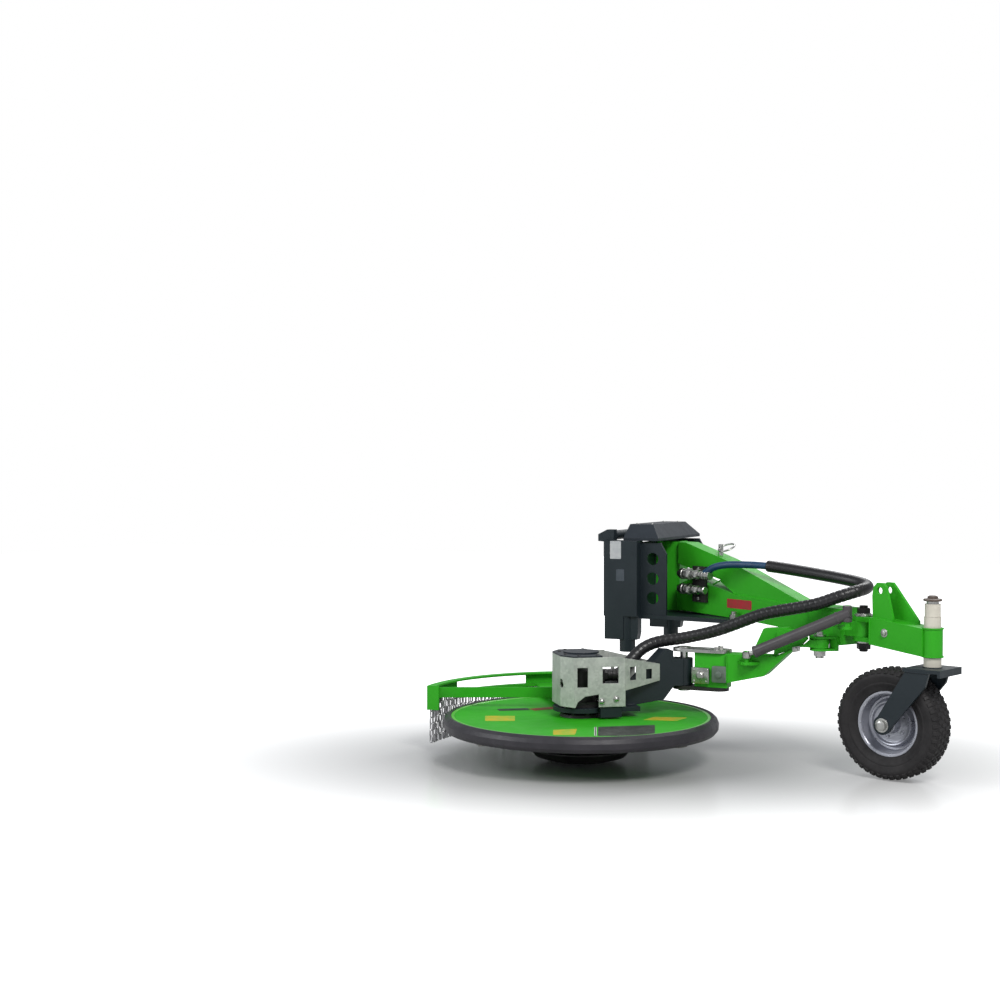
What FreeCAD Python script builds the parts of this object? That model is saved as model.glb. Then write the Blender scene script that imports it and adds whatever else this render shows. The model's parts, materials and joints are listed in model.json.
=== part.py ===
import FreeCAD, Part
import math
import os

# Fence mower: a loader-carried arm with a castor in front and a disc cutter head beside it.
# Millimetres. +X is the direction of travel, +Y the left side, +Z up. The origin is on the
# rear face of the coupling frame, where the loader's coupling plate rests.

V = FreeCAD.Vector
UP = V(0, 0, 1)

# ---- driving dimensions -------------------------------------------------------------
GROUND = -460.0            # floor level under the castor

# coupling frame
LOCK_SPACING = 394.0       # between the two vertical locking pin bores
LOCK_X = -21.0             # the locking bores lie behind the coupling face
LOCK_BORE_R = 15.5
POST_REAR = -86.0
POST_FRONT = 17.0
POST_WIDTH = 50.0
POST_SHEET = 10.0
POST_BOTTOM = -102.0
LUG_BOTTOM = -170.0
SLEEVE_DROP = 36.0         # the locking sleeves stand this far below the lugs
SLEEVE_R = 23.0
BACK_THICK = 10.0
BACK_TOP = 112.0
WEB_THICK = 10.0
WEB_REACH = 85.0           # the webs stand this far in front of the back plate
HOOK_BAR_R = 14.0
HOOK_BAR_X = -84.0
HOOK_BAR_Z = 131.0
TONGUE_TOP = -98.0
TONGUE_THICK = 12.0
TONGUE_S = 346.0           # the tongue ends this far along the beam
TONGUE_BOLT_R = 8.0
HOOD_EDGE_Z = 118.0        # the hood stands on the side posts at this height
HOOD_REAR = -34.0
HOOD_FRONT = 74.0
HOOD_TOP_Z = 165.0
SHEET = 5.0

# main beam, in its own line from BEAM_START towards the castor stem
BEAM_START = V(45.0, 0.0, 0.0)
STEM_X = 898.0
STEM_Y = -503.0
BEAM_WIDTH = 70.0
BEAM_WALL = 6.0
BEAM_END_S = 723.0
BEAM_TOP_END = -52.0
BEAM_BOTTOM_END = -122.0
SLEEVE_START_S = 613.0
COLLAR_WALL = 7.0
BRACE_WIDTH = 50.0
POST_BOX = 76.0            # side of the square post that carries the beam and the brace
HINGE_S = 766.0
HINGE_BOLT_R = 11.0
HINGE_PLATE = 12.0
HINGE_LUG_HEIGHT = 40.0
HINGE_Z = -90.0
CASTER_ARM_S = 812.0
CASTER_ARM_WIDTH = 60.0
STEM_TUBE_R = 25.0
STEM_TUBE_TOP = -70.0
STEM_TUBE_BOTTOM = -142.0
EAR_GAP = 28.0
EAR_THICK = 8.0
EAR_HOLE_R = 9.0
COUPLER_SIDE = -72.0       # the quick couplers lie this far to the beam's right
COUPLER_STAND_OFF = 3.0
COUPLER_PLATE = 8.0
LINCH_S = 222.0
LINCH_R = 7.0
LINCH_TOP = 109.0

# castor
TYRE_OD = 285.0
TYRE_WIDTH = 88.0
RIM_R = 77.0
RIM_WIDTH = 62.0
CASTER_TRAIL = 106.0
CASTER_TURN = -17.6        # heading of the castor, degrees about +Z
STEM_R = 15.0
STEM_TOP = -3.0
FORK_TOP = -168.0
FORK_PLATE = 9.0
FORK_GAP = 7.0             # between the tyre and each fork leg
FORK_LEG = 8.0
AXLE_R = 8.0

# swing arm
PIVOT_X = 594.0
PIVOT_Y = -408.0
ARM_LENGTH = 372.0
ARM_WIDTH = 60.0
ARM_TOP = -170.0
ARM_BOTTOM = -248.0
PIVOT_PIN_R = 11.0
PIVOT_HUB_R = 24.0
PIVOT_HUB_TOP = -120.0
PIVOT_HUB_BOTTOM = -144.0
PIVOT_PLATE = 6.0
FORK_REACH = 128.0         # the head fork reaches this far from the barrel to the arm's end

# cutter head
HEAD_DX = -234.0           # from the barrel to the cutter axis
HEAD_DY = -176.0
BARREL_R = 24.0
BARREL_TOP = -189.0
BARREL_BOTTOM = -262.0
HEAD_PIN_R = 11.0
HEAD_ARM_WIDTH = 56.0
MOTOR_PLATE_TOP = -310.0
MOTOR_PLATE_THICK = 12.0
MOTOR_PLATE_R = 74.0
HOUSING_R = 34.0
SHAFT_R = 15.0
DECK_R = 349.0
DECK_TOP = -338.0
DECK_THICK = 6.0
RUBBER_WIDTH = 21.0        # how far the rubber edge stands out from the deck
RUBBER_TOP = -335.0
RUBBER_BOTTOM = -377.0
HUB_R = 62.0
CUTTER_TOP = -380.0
CUTTER_THICK = 8.0
CUTTER_DISC_R = 170.0
BLADE_INSET = 37.0         # the blade tips stay this far inside the deck's edge
GLIDE_R = 135.0
GLIDE_BOTTOM = -452.0
GUARD_TOP = -172.0
GUARD_BOTTOM = -304.0
GUARD_SHEET = 4.0
GUARD_HALF = 86.0          # half the width between the guard's long sides
BAND_STAND_OFF = 67.0      # from the rubber edge out to the guard band
BAND_TOP = -275.0
BAND_BOTTOM = -320.0
BAND_SHEET = 5.0
CHORD_OFFSET = 135.0       # the band's straight wall passes this far from the cutter axis
CHORD_ANGLE = 115.2        # and its middle lies in this direction from it
BAND_FROM = 82.0
BAND_TO = 189.0
CHAIN_BOTTOM = -450.0

# spring strut
STRUT_FRONT = V(677.0, -457.0, -48.0)
STRUT_REAR = V(411.0, -457.0, -168.0)
STRUT_TUBE_R = 15.0
STRUT_ROD_R = 6.0
STRUT_PIN_R = 6.0
STRUT_EYE = 20.0           # half height of the front eye
STRUT_PLAY = 2.5           # radial play of the rear eye on its pin

# hose
HOSE_R = 16.5
PIVOT_HOSE_Z = -28.0       # where the hose crosses the swing arm's axis
BARREL_HOSE_Z = -136.0     # where it crosses the head's axis
PORT_Z = -231.0

RUN = 0.05                 # radial clearance of a running fit
GAP = 1.0                  # clearance between flat faces that slide past each other
SEAT = 0.3                 # clearance of curved seats

# ---- places worked out from the driving dimensions ----------------------------------
STEM = V(STEM_X, STEM_Y, 0)
BEAM_DIR = V(STEM).sub(BEAM_START).normalize()
BEAM_ANGLE = math.degrees(math.atan2(BEAM_DIR.y, BEAM_DIR.x))
STEM_S = V(STEM).sub(BEAM_START).Length
PIVOT = V(PIVOT_X, PIVOT_Y, 0)
BARREL = V(PIVOT_X - ARM_LENGTH, PIVOT_Y, 0)
CUTTER = V(BARREL.x + HEAD_DX, BARREL.y + HEAD_DY, 0)
HEAD_LENGTH = math.hypot(HEAD_DX, HEAD_DY)
HEAD_ANGLE = math.degrees(math.atan2(HEAD_DY, HEAD_DX))
RUBBER_R = DECK_R + RUBBER_WIDTH
BLADE_TIP_R = DECK_R - BLADE_INSET
BAND_R = RUBBER_R + BAND_STAND_OFF
TURN = math.radians(CASTER_TURN)
AXLE = V(STEM_X - CASTER_TRAIL * math.cos(TURN), STEM_Y - CASTER_TRAIL * math.sin(TURN), GROUND + TYRE_OD / 2)
AXLE_DIR = V(-math.sin(TURN), math.cos(TURN), 0)
LOCK_Y = LOCK_SPACING / 2
HOOD_HALF = LOCK_Y           # the hood's edges rest on the middle of the side posts
POST_INNER = LOCK_Y - POST_WIDTH / 2
POST_OUTER = LOCK_Y + POST_WIDTH / 2
POST_SKIN = POST_OUTER - POST_SHEET
WEB_INNER = POST_INNER + 6
WEB_OUTER = WEB_INNER + WEB_THICK
FORK_INNER = TYRE_WIDTH / 2 + FORK_GAP
FORK_OUTER = FORK_INNER + FORK_LEG


# ---- shape helpers ------------------------------------------------------------------
def box(x0, x1, y0, y1, z0, z1):
    return Part.makeBox(x1 - x0, y1 - y0, z1 - z0, V(x0, y0, z0))


def rod(radius, start, end):
    span = end.sub(start)
    return Part.makeCylinder(radius, span.Length, start, span)


def post(radius, centre, z0, z1):
    return Part.makeCylinder(radius, z1 - z0, V(centre.x, centre.y, z0), UP)


def tube(outer, inner, centre, z0, z1):
    return post(outer, centre, z0, z1).cut(post(inner, centre, z0 - 1, z1 + 1))


def plan_plate(points, z0, z1):
    corners = [V(x, y, z0) for x, y in points]
    return Part.Face(Part.makePolygon(corners + corners[:1])).extrude(V(0, 0, z1 - z0))


def side_plate(points, y0, y1):
    corners = [V(x, y0, z) for x, z in points]
    return Part.Face(Part.makePolygon(corners + corners[:1])).extrude(V(0, y1 - y0, 0))


def turned(points, centre):
    corners = [V(centre.x + r, centre.y, z) for r, z in points]
    face = Part.Face(Part.makePolygon(corners + corners[:1]))
    return face.revolve(V(centre.x, centre.y, 0), UP, 360)


def slot_plate(a, b, radius, z0, z1):
    """A flat plate with two round ends, from a to b."""
    span = b.sub(a)
    side = V(-span.y, span.x, 0).normalize().multiply(radius)
    bar = plan_plate([(p.x, p.y) for p in (a.add(side), a.sub(side), b.sub(side), b.add(side))], z0, z1)
    return bar.fuse([post(radius, a, z0, z1), post(radius, b, z0, z1)]).removeSplitter()


def placed(shape, angle, origin):
    """Turns a shape drawn along local X about +Z, and moves its origin."""
    moved = shape.copy()
    moved.rotate(V(0, 0, 0), UP, angle)
    moved.translate(V(origin.x, origin.y, 0))
    return moved


def on_beam(shape):
    return placed(shape, BEAM_ANGLE, BEAM_START)


def beam_point(s, side, z):
    """Along the beam by s, to its left by side."""
    left = V(-BEAM_DIR.y, BEAM_DIR.x, 0)
    p = BEAM_START.add(V(BEAM_DIR).multiply(s)).add(left.multiply(side))
    return V(p.x, p.y, z)


def on_head(shape):
    """From local X along the head arm, measured from the barrel towards the cutter."""
    return placed(shape, HEAD_ANGLE, BARREL)


def hexagon(across, centre, z0, z1):
    r = across / math.sqrt(3)
    ring = [(centre.x + r * math.cos(math.radians(a)), centre.y + r * math.sin(math.radians(a)))
            for a in range(0, 360, 60)]
    return plan_plate(ring, z0, z1)


def soft_path(points):
    """Straight runs joined by tangent arcs, each as large as its two runs allow."""
    edges = []
    radii = []
    start = points[0]
    for before, corner, after in zip(points, points[1:], points[2:]):
        into = corner.sub(before)
        out = after.sub(corner)
        run = min(into.Length, out.Length)
        into.normalize()
        out.normalize()
        turn = into.getAngle(out)
        radius = 0.45 * run / math.tan(turn / 2)
        radii.append(round(radius))
        cut = 0.45 * run
        arc_start = corner.sub(V(into).multiply(cut))
        arc_end = corner.add(V(out).multiply(cut))
        bisector = V(out).sub(into).normalize()
        centre = corner.add(V(bisector).multiply(radius / math.cos(turn / 2)))
        middle = centre.sub(V(bisector).multiply(radius))
        edges.append(Part.LineSegment(start, arc_start).toShape())
        edges.append(Part.Arc(arc_start, middle, arc_end).toShape())
        start = arc_end
    edges.append(Part.LineSegment(start, points[-1]).toShape())
    return Part.Wire(edges), radii


def hose(points, radius):
    path, radii = soft_path(points)
    first = points[1].sub(points[0])
    circle = Part.Wire([Part.makeCircle(radius, points[0], first)])
    solid = path.makePipeShell([circle], True, False)
    ratio = solid.Volume / (math.pi * radius ** 2 * path.Length)
    print("hose length", round(path.Length), "radii", radii, "volume ratio", round(ratio, 4))
    return solid


def solids(*shapes):
    return Part.makeCompound(list(shapes))


# ---- coupling frame -----------------------------------------------------------------
def between(side, inner, outer):
    """The two Y values of a band on one side of the middle plane, low then high."""
    return sorted((side * inner, side * outer))


def side_post(side):
    """Channel open to the rear, with a bored lug under it and a horn on top."""
    y0, y1 = between(side, POST_INNER, POST_OUTER)
    h0, h1 = between(side, POST_INNER + 12, POST_OUTER - 12)
    l0, l1 = between(side, POST_INNER + 9, POST_OUTER - 9)
    horn_top = HOOD_EDGE_Z + 32
    parts = [box(POST_REAR, POST_FRONT, *between(side, POST_SKIN, POST_OUTER), POST_BOTTOM, HOOD_EDGE_Z),
             box(BACK_THICK, POST_FRONT, *between(side, WEB_OUTER, POST_OUTER), POST_BOTTOM, HOOD_EDGE_Z),
             box(POST_REAR, POST_FRONT, y0, y1, BACK_TOP, HOOD_EDGE_Z),
             side_plate([(POST_REAR - 22, HOOD_EDGE_Z - 2), (POST_REAR - 22, HOOD_EDGE_Z + 18),
                         (POST_REAR + 6, horn_top), (POST_REAR + 27, horn_top),
                         (POST_REAR + 27, BACK_TOP + 2), (POST_REAR + 3, BACK_TOP + 2)], h0, h1),
             box(POST_REAR + 3, LOCK_X - 4, y0, y1, LUG_BOTTOM, TONGUE_TOP),
             side_plate([(LOCK_X - 4, LUG_BOTTOM), (POST_FRONT - 4, LUG_BOTTOM),
                         (POST_FRONT, LUG_BOTTOM + 20), (POST_FRONT, TONGUE_TOP),
                         (LOCK_X - 4, TONGUE_TOP)], l0, l1)]
    lock = V(LOCK_X, side * LOCK_Y, 0)
    bar = V(HOOK_BAR_X, 0, HOOK_BAR_Z)
    whole = parts[0].fuse(parts[1:] + [post(SLEEVE_R, lock, LUG_BOTTOM, TONGUE_TOP)]).removeSplitter()
    whole = whole.cut(post(LOCK_BORE_R, lock, LUG_BOTTOM - 1, TONGUE_TOP + 1))
    return whole.cut(rod(HOOK_BAR_R + SEAT, bar.add(V(0, y0 - 5, 0)), bar.add(V(0, y1 + 5, 0))))


def lock_sleeve(side):
    lock = V(LOCK_X, side * LOCK_Y, 0)
    ring = tube(SLEEVE_R, LOCK_BORE_R, lock, LUG_BOTTOM - SLEEVE_DROP, LUG_BOTTOM)
    slot = box(LOCK_X, LOCK_X + SLEEVE_R + 5, lock.y - 5, lock.y + 5, LUG_BOTTOM - SLEEVE_DROP - 1,
               LUG_BOTTOM + 1)
    return ring.cut(slot)


def hook_bar():
    reach = POST_OUTER - 12
    bar = V(HOOK_BAR_X, 0, HOOK_BAR_Z)
    return rod(HOOK_BAR_R, bar.add(V(0, -reach, 0)), bar.add(V(0, reach, 0)))


def web(side):
    y0, y1 = between(side, WEB_INNER, WEB_OUTER)
    front = BACK_THICK + WEB_REACH
    plate = side_plate([(BACK_THICK, TONGUE_TOP), (front, TONGUE_TOP), (front, 80), (front - 18, BACK_TOP),
                        (BACK_THICK, BACK_TOP)], y0, y1)
    for z in (65, 8, -49):
        hole = V(POST_FRONT + 36, 0, z)
        plate = plate.cut(rod(18, hole.add(V(0, y0 - 1, 0)), hole.add(V(0, y1 + 1, 0))))
    return plate


def back_plate():
    return box(0, BACK_THICK, -POST_SKIN, POST_SKIN, TONGUE_TOP, BACK_TOP)


def tongue_plate():
    """Floor plate of the coupling frame, drawn out into a tongue under the beam."""
    edge = WEB_OUTER + 2
    front = BACK_THICK + WEB_REACH + 4
    near = beam_point(TONGUE_S, -62, 0)
    far = beam_point(TONGUE_S, 40, 0)
    corner = beam_point(120, 60, 0)
    plate = plan_plate([(0, -POST_INNER), (POST_FRONT, -POST_INNER), (POST_FRONT, -edge), (front, -edge),
                        (near.x, near.y), (far.x, far.y), (corner.x, corner.y), (front, edge),
                        (POST_FRONT, edge),
                        (POST_FRONT, POST_INNER), (0, POST_INNER)], TONGUE_TOP - TONGUE_THICK, TONGUE_TOP)
    return plate.cut(post(TONGUE_BOLT_R + RUN, tongue_bolt_place(), -200, 0))


def hood():
    """Thin cover with a short skirt and sloping sides, open underneath."""
    def ring(x0, x1, y, z):
        return Part.makePolygon([V(x0, -y, z), V(x1, -y, z), V(x1, y, z), V(x0, y, z), V(x0, -y, z)])

    def shell(inset, drop):
        low = ring(HOOD_REAR + inset, HOOD_FRONT - inset, HOOD_HALF - inset, HOOD_EDGE_Z - drop)
        edge = ring(HOOD_REAR + inset, HOOD_FRONT - inset, HOOD_HALF - inset, HOOD_EDGE_Z + 8 - inset / 4)
        top = ring(HOOD_REAR + 4 + inset, HOOD_FRONT - 32 - inset, HOOD_HALF - 47 - inset, HOOD_TOP_Z - inset)
        return Part.makeLoft([low, edge], True).fuse(Part.makeLoft([edge, top], True))

    return shell(0, 0).cut(shell(SHEET, 1)).removeSplitter()


# ---- green frame --------------------------------------------------------------------
def frame_post():
    half = POST_BOX / 2
    outer = box(BACK_THICK, BACK_THICK + POST_BOX, -half, half, TONGUE_TOP, BACK_TOP - 2)
    inner = box(BACK_THICK + BEAM_WALL, BACK_THICK + POST_BOX - BEAM_WALL, -half + BEAM_WALL,
                half - BEAM_WALL,
                TONGUE_TOP - 1, HOOD_EDGE_Z)
    return outer.cut(inner)


def post_block():
    half = POST_BOX / 2
    return box(BACK_THICK - 200, BACK_THICK + POST_BOX, -half - 60, half + 60, -400, 400)


def beam_outline():
    top = [(-10, -45), (60, -20), (140, 8), (200, -9), (245, -14), (312, -30), (BEAM_END_S, BEAM_TOP_END)]
    bottom = [(BEAM_END_S, BEAM_BOTTOM_END), (TONGUE_S, TONGUE_TOP), (-10, -88)]
    return side_plate(top + bottom, -BEAM_WIDTH / 2, BEAM_WIDTH / 2)


def lower_beam():
    half = BEAM_WIDTH / 2
    core_top = [(100, -20), (140, -2), (200, -18), (300, -35),
                (BEAM_END_S - BEAM_WALL, BEAM_TOP_END - BEAM_WALL)]
    core_bottom = [(BEAM_END_S - BEAM_WALL, BEAM_BOTTOM_END + BEAM_WALL), (330, TONGUE_TOP + BEAM_WALL),
                   (100, -84)]
    core = side_plate(core_top + core_bottom, -half + BEAM_WALL, half - BEAM_WALL)
    return on_beam(beam_outline().cut(core)).cut(post_block())


def upper_brace():
    half = BRACE_WIDTH / 2
    edge = BACK_TOP - 2
    outer = side_plate([(-20, 62), (-20, edge), (96, edge), (300, 58), (596, -44), (312, -34), (250, 8)],
                       -half, half)
    core = side_plate([(0, 66), (0, edge - 7), (92, edge - 7), (296, 50), (470, -10), (322, -19), (255, 15)],
                      -half + 6, half - 6)
    brace = on_beam(outer.cut(core).cut(beam_outline())).cut(post_block())
    return brace.cut(post(LINCH_R + RUN, beam_point(LINCH_S, 0, 0), -200, 200))


def beam_collar():
    half = BEAM_WIDTH / 2
    s0, s1 = SLEEVE_START_S, BEAM_END_S
    outer = box(s0, s1, -half - COLLAR_WALL, half + COLLAR_WALL, -136, -40)
    return on_beam(outer.cut(beam_outline()))


def hinge_lug():
    """The beam's end plug, with the upright bore of the castor arm's hinge."""
    half = HINGE_LUG_HEIGHT / 2
    hub = post(27, V(HINGE_S, 0, 0), HINGE_Z - half, HINGE_Z + half)
    neck = box(BEAM_END_S, HINGE_S, -27, 27, HINGE_Z - half, HINGE_Z + half)
    return on_beam(hub.fuse(neck).removeSplitter().cut(post(HINGE_BOLT_R + RUN, V(HINGE_S, 0, 0), -300, 300)))


def hinge_bolt():
    """Bolt, washers and nut that clamp the castor arm to the beam's end."""
    c = beam_point(HINGE_S, 0, 0)
    half = HINGE_LUG_HEIGHT / 2 + HINGE_PLATE
    top = HINGE_Z + half
    bottom = HINGE_Z - half
    shank = post(HINGE_BOLT_R, c, bottom - 24, top + 4)
    parts = [shank, post(24, c, top, top + 5), post(20, c, top + 5, top + 8),
             hexagon(30, c, top + 8, top + 22),
             post(22, c, bottom - 5, bottom), hexagon(32, c, bottom - 22, bottom - 5)]
    return parts[0].fuse(parts[1:]).removeSplitter()


def caster_arm():
    half = CASTER_ARM_WIDTH / 2
    lug = HINGE_LUG_HEIGHT / 2
    outer = side_plate([(CASTER_ARM_S, -56), (STEM_S - 8, STEM_TUBE_TOP - 1),
                        (STEM_S - 8, STEM_TUBE_BOTTOM + 1), (CASTER_ARM_S, -126)], -half, half)
    core = side_plate([(CASTER_ARM_S + 8, -63), (STEM_S - 34, -76), (STEM_S - 34, -134),
                       (CASTER_ARM_S + 8, -120)], -half + 6, half - 6)
    plates = []
    for z in (HINGE_Z + lug, HINGE_Z - lug - HINGE_PLATE):
        ring = post(27, V(HINGE_S, 0, 0), z, z + HINGE_PLATE)
        plates.append(ring.fuse(box(HINGE_S, CASTER_ARM_S + 10, -27, 27, z, z + HINGE_PLATE)))
    arm = outer.cut(core).fuse(plates).removeSplitter()
    arm = arm.cut(post(HINGE_BOLT_R + RUN, V(HINGE_S, 0, 0), -300, 300))
    return on_beam(arm).cut(post(STEM_TUBE_R + RUN, STEM, -300, 300))


def stem_tube():
    return tube(STEM_TUBE_R, STEM_R + RUN, STEM, STEM_TUBE_BOTTOM, STEM_TUBE_TOP)


def arm_top_z(s):
    return -56 + (s - CASTER_ARM_S) / (STEM_S - 8 - CASTER_ARM_S) * (STEM_TUBE_TOP - 1 + 56)


def ear(side):
    y0, y1 = sorted((side * EAR_GAP / 2, side * (EAR_GAP / 2 + EAR_THICK)))
    s0 = CASTER_ARM_S + 4
    reach = 66 if side < 0 else 118
    s1 = s0 + reach
    plate = side_plate([(s0, arm_top_z(s0)), (s0 - 2, 0), (s0 + 2, 22), (s0 + 14, 34), (s0 + 34, 34),
                        (s0 + 44, 24), (s1, arm_top_z(s1) + 8), (s1, arm_top_z(s1))], y0, y1)
    hole = rod(EAR_HOLE_R, V(s0 + 23, y0 - 1, 14), V(s0 + 23, y1 + 1, 14))
    return on_beam(plate.cut(hole))


# ---- fittings on the frame ----------------------------------------------------------
def linch_pin():
    """Upright pin through the brace, with a slanting cross hole for its pull ring."""
    pin = post(LINCH_R, beam_point(LINCH_S, 0, 0), 30, LINCH_TOP)
    c = beam_point(LINCH_S, 0, LINCH_TOP - 9)
    across = ring_side().multiply(20)
    return pin.cut(rod(4.5, c.sub(across), c.add(across)))


def ring_side():
    """The way the pull ring's wire runs where it passes through the pin."""
    tilt = math.radians(25)
    return V(-BEAM_DIR.y * math.cos(tilt), BEAM_DIR.x * math.cos(tilt), math.sin(tilt))


def pull_ring():
    c = beam_point(LINCH_S, 0, LINCH_TOP - 9)
    along = V(BEAM_DIR)
    return Part.makeTorus(24, 2.6, c.add(V(along).multiply(24)), ring_side().cross(along))


def tongue_bolt_place():
    return beam_point(TONGUE_S - 15, -50, 0)


def tongue_bolt():
    c = tongue_bolt_place()
    low = TONGUE_TOP - TONGUE_THICK
    shank = post(TONGUE_BOLT_R, c, low - 8, TONGUE_TOP + 22)
    return shank.fuse([hexagon(24, c, low - 10, low),
                       hexagon(24, c, TONGUE_TOP, TONGUE_TOP + 14)]).removeSplitter()


def coupler_plate():
    """Upright bulkhead plate on the beam that carries the quick couplers."""
    near = -BEAM_WIDTH / 2 - COUPLER_STAND_OFF
    plate = side_plate([(150, -60), (206, -60), (206, 44), (150, 44)], near - COUPLER_PLATE, near)
    foot = box(150, 206, near, -BEAM_WIDTH / 2, -60, -24)
    return on_beam(plate.fuse(foot).removeSplitter())


def quick_coupler(z):
    y = COUPLER_SIDE
    parts = [rod(10, V(120, y, z), V(232, y, z)), rod(15, V(132, y, z), V(182, y, z)),
             rod(17, V(160, y, z), V(172, y, z)), rod(13, V(190, y, z), V(216, y, z))]
    clip = box(166, 190, y, -BEAM_WIDTH / 2 - COUPLER_STAND_OFF - COUPLER_PLATE, z - 6, z + 6)
    return on_beam(parts[0].fuse(parts[1:] + [clip]).removeSplitter())


# ---- swing arm pivot ----------------------------------------------------------------
def pivot_bracket():
    """C-shaped bracket on the beam's near side: two plates joined by an upright web."""
    half = BEAM_WIDTH / 2 + COLLAR_WALL
    a = beam_point(SLEEVE_START_S + 6, -half, 0)
    b = beam_point(BEAM_END_S - 4, -half, 0)
    plates = []
    for z in (PIVOT_HUB_TOP + GAP, PIVOT_HUB_BOTTOM - GAP - PIVOT_PLATE):
        wedge = plan_plate([(a.x, a.y), (PIVOT.x - 18, PIVOT.y - 18), (PIVOT.x + 18, PIVOT.y - 18),
                            (b.x, b.y)],
                           z, z + PIVOT_PLATE)
        plates.append(wedge.fuse(post(PIVOT_HUB_R + 1.5, PIVOT, z, z + PIVOT_PLATE)))
    web_box = box(SLEEVE_START_S + 77, BEAM_END_S - 4, -half - 10, -half,
                  PIVOT_HUB_BOTTOM - GAP - PIVOT_PLATE,
                  PIVOT_HUB_TOP + GAP + PIVOT_PLATE)
    bracket = plates[0].fuse([plates[1], on_beam(web_box)]).removeSplitter()
    bracket = bracket.cut(post(PIVOT_HUB_R + 3, PIVOT, PIVOT_HUB_BOTTOM - GAP, PIVOT_HUB_TOP + GAP))
    return bracket.cut(post(PIVOT_PIN_R + RUN, PIVOT, -400, 0))


def pivot_pin():
    low = PIVOT_HUB_BOTTOM - GAP - PIVOT_PLATE
    high = PIVOT_HUB_TOP + GAP + PIVOT_PLATE
    pin = post(PIVOT_PIN_R, PIVOT, low - 20, high + 4)
    return pin.fuse([post(17, PIVOT, high, high + 4), hexagon(28, PIVOT, low - 14, low)]).removeSplitter()


def strut_front_bracket():
    """Plate and pin on the collar's side that hold the strut's front end."""
    half = BEAM_WIDTH / 2 + COLLAR_WALL
    a = beam_point(BEAM_END_S - 23, -half, 0)
    b = beam_point(BEAM_END_S, -half, 0)
    z1 = STRUT_FRONT.z - 32
    plate = plan_plate([(a.x, a.y), (STRUT_FRONT.x - 10, STRUT_FRONT.y - 9),
                        (STRUT_FRONT.x + 13, STRUT_FRONT.y - 4),
                        (b.x, b.y)], z1 - 8, z1)
    pin = post(STRUT_PIN_R, STRUT_FRONT, z1 - 8, STRUT_FRONT.z + STRUT_EYE + 3)
    boss = post(8, STRUT_FRONT, z1, STRUT_FRONT.z - STRUT_EYE - SEAT)
    return plate.fuse([post(13, STRUT_FRONT, z1 - 8, z1), boss, pin]).removeSplitter()


# ---- swing arm ----------------------------------------------------------------------
def swing_arm():
    """Box arm from the pivot hub down to the head fork, closed at both ends."""
    half = ARM_WIDTH / 2
    inner = half - 6
    p = PIVOT.x
    y = PIVOT.y
    x0 = BARREL.x + FORK_REACH
    low = PIVOT_HUB_BOTTOM + 2
    high = PIVOT_HUB_TOP - 2
    arm = side_plate([(x0, ARM_TOP), (x0, ARM_BOTTOM), (p - 142, ARM_BOTTOM + 24), (p - 79, low - 21),
                      (p - 48, low), (p - 4, low), (p - 4, high), (p - 22, high), (p - 36, high - 12),
                      (p - 108, ARM_TOP)], y - half, y + half)
    core = side_plate([(x0 + 8, ARM_TOP - 6), (x0 + 8, ARM_BOTTOM + 8), (p - 147, ARM_BOTTOM + 32),
                       (p - 128, ARM_TOP - 8)], y - inner, y + inner)
    taper = plan_plate([(p - 71, y + half + 5), (p + 50, y + half + 5), (p + 50, y + PIVOT_HUB_R),
                        (p - 35, y + PIVOT_HUB_R)], ARM_BOTTOM - 10, high + 10)
    rib = side_plate([(p - 182, ARM_TOP), (p - 150, -100), (p - 84, -94), (p - 66, high)], y - 4, y + half)
    web = side_plate([(p - 120, ARM_TOP), (p - 110, -102), (p - 58, -98), (p - 36, -106), (p - 30, high),
                      (p - 48, low)], y - 14, y + 4)
    arm = arm.cut(core).fuse([rib, web]).cut(taper.fuse(taper.mirror(PIVOT, V(0, 1, 0)))).removeSplitter()
    return arm.cut(post(PIVOT_HUB_R + RUN, PIVOT, low - 10, high + 10))


def pivot_hub():
    return tube(PIVOT_HUB_R, PIVOT_PIN_R + RUN, PIVOT, PIVOT_HUB_BOTTOM, PIVOT_HUB_TOP)


def head_fork_top():
    end = V(BARREL.x + 104, BARREL.y, 0)
    plate = slot_plate(BARREL, end, 30, ARM_TOP, ARM_TOP + 9)
    return plate.cut(post(HEAD_PIN_R + RUN, BARREL, -300, 0))


def head_fork_bottom():
    end = V(BARREL.x + 96, BARREL.y, 0)
    plate = slot_plate(BARREL, end, 30, BARREL_BOTTOM - GAP - 10, BARREL_BOTTOM - GAP)
    return plate.cut(post(HEAD_PIN_R + RUN, BARREL, -300, 0))


def head_fork_block():
    """Square block bolted to the arm's end, between the two fork plates."""
    x0 = BARREL.x + 36
    x1 = BARREL.x + FORK_REACH
    block = box(x0, x1, BARREL.y - 22, BARREL.y + 22, BARREL_BOTTOM - GAP, ARM_TOP)
    cheek = box(x0 - 4, x0 + 44, BARREL.y - 34, BARREL.y - 22, -253, -210)
    second = box(x0 + 52, x1, BARREL.y - 32, BARREL.y - 22, -248, -204)
    bolt = rod(11, V(x0 + 20, BARREL.y - 42, -231), V(x0 + 20, BARREL.y - 34, -231))
    return block.fuse([cheek, second, bolt]).removeSplitter()


def head_pin():
    top = ARM_TOP + 9
    low = BARREL_BOTTOM - GAP - 10
    pin = post(HEAD_PIN_R, BARREL, low - 4, top + 3)
    return pin.fuse([post(18, BARREL, top, top + 3), post(16, BARREL, low - 5, low)]).removeSplitter()


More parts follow.
